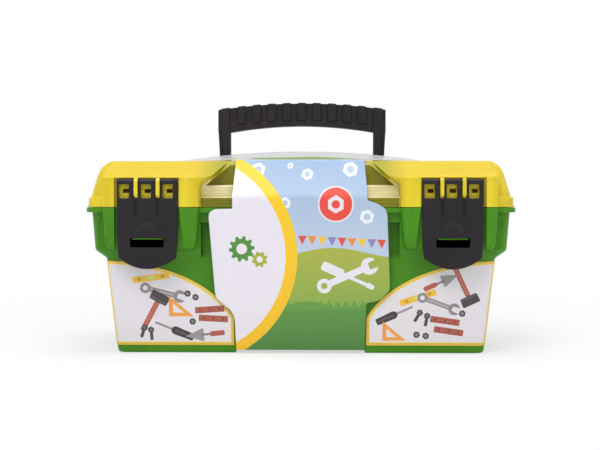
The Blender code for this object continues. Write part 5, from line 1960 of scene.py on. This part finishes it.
@dataclass
class Studio:
    """A pale floor, soft lamps and a camera that stands as the photographer's did."""

    lens: float = 67.0
    sensor: float = 36.0
    front: float = -86 * MM
    metres_per_pixel: float = 0.8 * MM
    eye_x: float = 21 * MM
    eye_height: float = 128 * MM
    aim_height: float = 105.5 * MM
    aim_x: float = 0.3 * MM
    shadow_reach: float = 0.24
    white_reach: float = 0.6
    surround: float = 0.46

    def camera(self) -> None:
        """The camera, at the distance that gives the picture its scale."""
        distance = self.metres_per_pixel * PICTURE_WIDTH * self.lens / self.sensor
        data = bpy.data.cameras.new("camera")
        data.lens = self.lens
        data.sensor_width = self.sensor
        eye = Vector((self.eye_x, self.front - distance, self.eye_height))
        item = bpy.data.objects.new("camera", data)
        item.location = eye
        way = Vector((self.aim_x, self.front, self.aim_height)) - eye
        item.rotation_euler = way.to_track_quat("-Z", "Y").to_euler()
        bpy.context.scene.collection.objects.link(item)
        bpy.context.scene.camera = item

    def lamp(self, name: str, spot: Point, size: float, power: float, aim: Point = (0, 0, 0.1)) -> None:
        """A square soft lamp that faces the box."""
        data = bpy.data.lights.new(name, "AREA")
        data.size = size
        data.energy = power
        item = bpy.data.objects.new(name, data)
        item.location = spot
        item.rotation_euler = (Vector(aim) - Vector(spot)).to_track_quat("-Z", "Y").to_euler()
        bpy.context.scene.collection.objects.link(item)

    def seen(self, tree: bpy.types.NodeTree) -> Socket:
        """One for rays from the camera, from gloss and through clear walls, and nothing for other rays."""
        path = tree.nodes.new("ShaderNodeLightPath")
        found = path.outputs["Is Camera Ray"]
        for kind in ("Is Glossy Ray", "Is Transmission Ray"):
            larger = tree.nodes.new("ShaderNodeMath")
            larger.operation = "MAXIMUM"
            tree.links.new(found, larger.inputs[0])
            tree.links.new(path.outputs[kind], larger.inputs[1])
            found = larger.outputs["Value"]
        return found

    def floor(self) -> None:
        """A wide pale floor that fades to white away from the box and keeps the box's shadow."""
        bm = bmesh.new()
        bmesh.ops.create_grid(bm, x_segments=8, y_segments=8, size=6.0)
        floor = object_from("floor", bm)
        graph = Graph("pale_floor")
        mottle = graph.spread(graph.noise(3.0, 2.0), 0.0, 1.0)
        tone = graph.blend(mottle, (0.93, 0.93, 0.93), (0.91, 0.91, 0.91))
        graph.join(tone, graph.shader.inputs["Base Color"])
        graph.set(Roughness=0.9)
        distance = graph.add("ShaderNodeVectorMath", operation="LENGTH")
        graph.join(graph.place, distance.inputs[0])
        away = graph.spread(distance.outputs["Value"], 0.6, 1.0, self.shadow_reach, self.white_reach)
        share = graph.add("ShaderNodeMath", operation="MULTIPLY")
        graph.join(away, share.inputs[0])
        graph.join(self.seen(graph.tree), share.inputs[1])
        white = graph.add("ShaderNodeEmission")
        mix = graph.add("ShaderNodeMixShader")
        graph.join(share.outputs["Value"], mix.inputs["Fac"])
        graph.join(graph.shader.outputs["BSDF"], mix.inputs[1])
        graph.join(white.outputs["Emission"], mix.inputs[2])
        graph.join(mix.outputs["Shader"], graph.tree.nodes["Material Output"].inputs["Surface"])
        dress(floor, graph.material)

    def world(self) -> None:
        """An even pale surround that the camera and reflections see as white."""
        world = bpy.data.worlds.new("surround")
        bpy.context.scene.world = world
        world.use_nodes = True
        tree = world.node_tree
        surround = tree.nodes["Background"]
        surround.inputs["Color"].default_value = (0.9, 0.92, 0.95, 1.0)
        surround.inputs["Strength"].default_value = self.surround
        white = tree.nodes.new("ShaderNodeBackground")
        white.inputs["Color"].default_value = (1.0, 1.0, 1.0, 1.0)
        mix = tree.nodes.new("ShaderNodeMixShader")
        tree.links.new(self.seen(tree), mix.inputs["Fac"])
        tree.links.new(surround.outputs["Background"], mix.inputs[1])
        tree.links.new(white.outputs["Background"], mix.inputs[2])
        tree.links.new(mix.outputs["Shader"], tree.nodes["World Output"].inputs["Surface"])

    def build(self) -> None:
        """Set up the studio."""
        bpy.context.scene.view_settings.view_transform = "Standard"
        self.camera()
        self.floor()
        self.world()
        self.lamp("key", (-0.6, -1.2, 1.6), 0.9, 14.5)
        self.lamp("fill", (1.1, -1.2, 0.9), 1.0, 4.0)
        self.lamp("top", (0.1, 0.0, 1.6), 1.0, 10.5)


DARK_PLASTIC = Moulded(
    "dark_plastic", "231D24", "1B161C", 0.4, grain=2200.0, grain_depth=0.03 * MM, rub=0.1, ior=1.34
)


def main() -> None:
    """Build every sub-assembly."""
    logging.basicConfig(level=logging.INFO, format="%(name)s: %(message)s")
    layout = Layout.from_frame()
    hinges = Hinges(layout)
    assemblies = [
        Studio(),
        hinges,
        Tub(layout, hinges),
        Lid(layout, hinges),
        *(Latch(layout, side) for side in SIDES),
        Handle(layout),
        Wrap(layout),
        Stickers(layout),
    ]
    for assembly in assemblies:
        assembly.build()


if __name__ == "__main__":
    main()
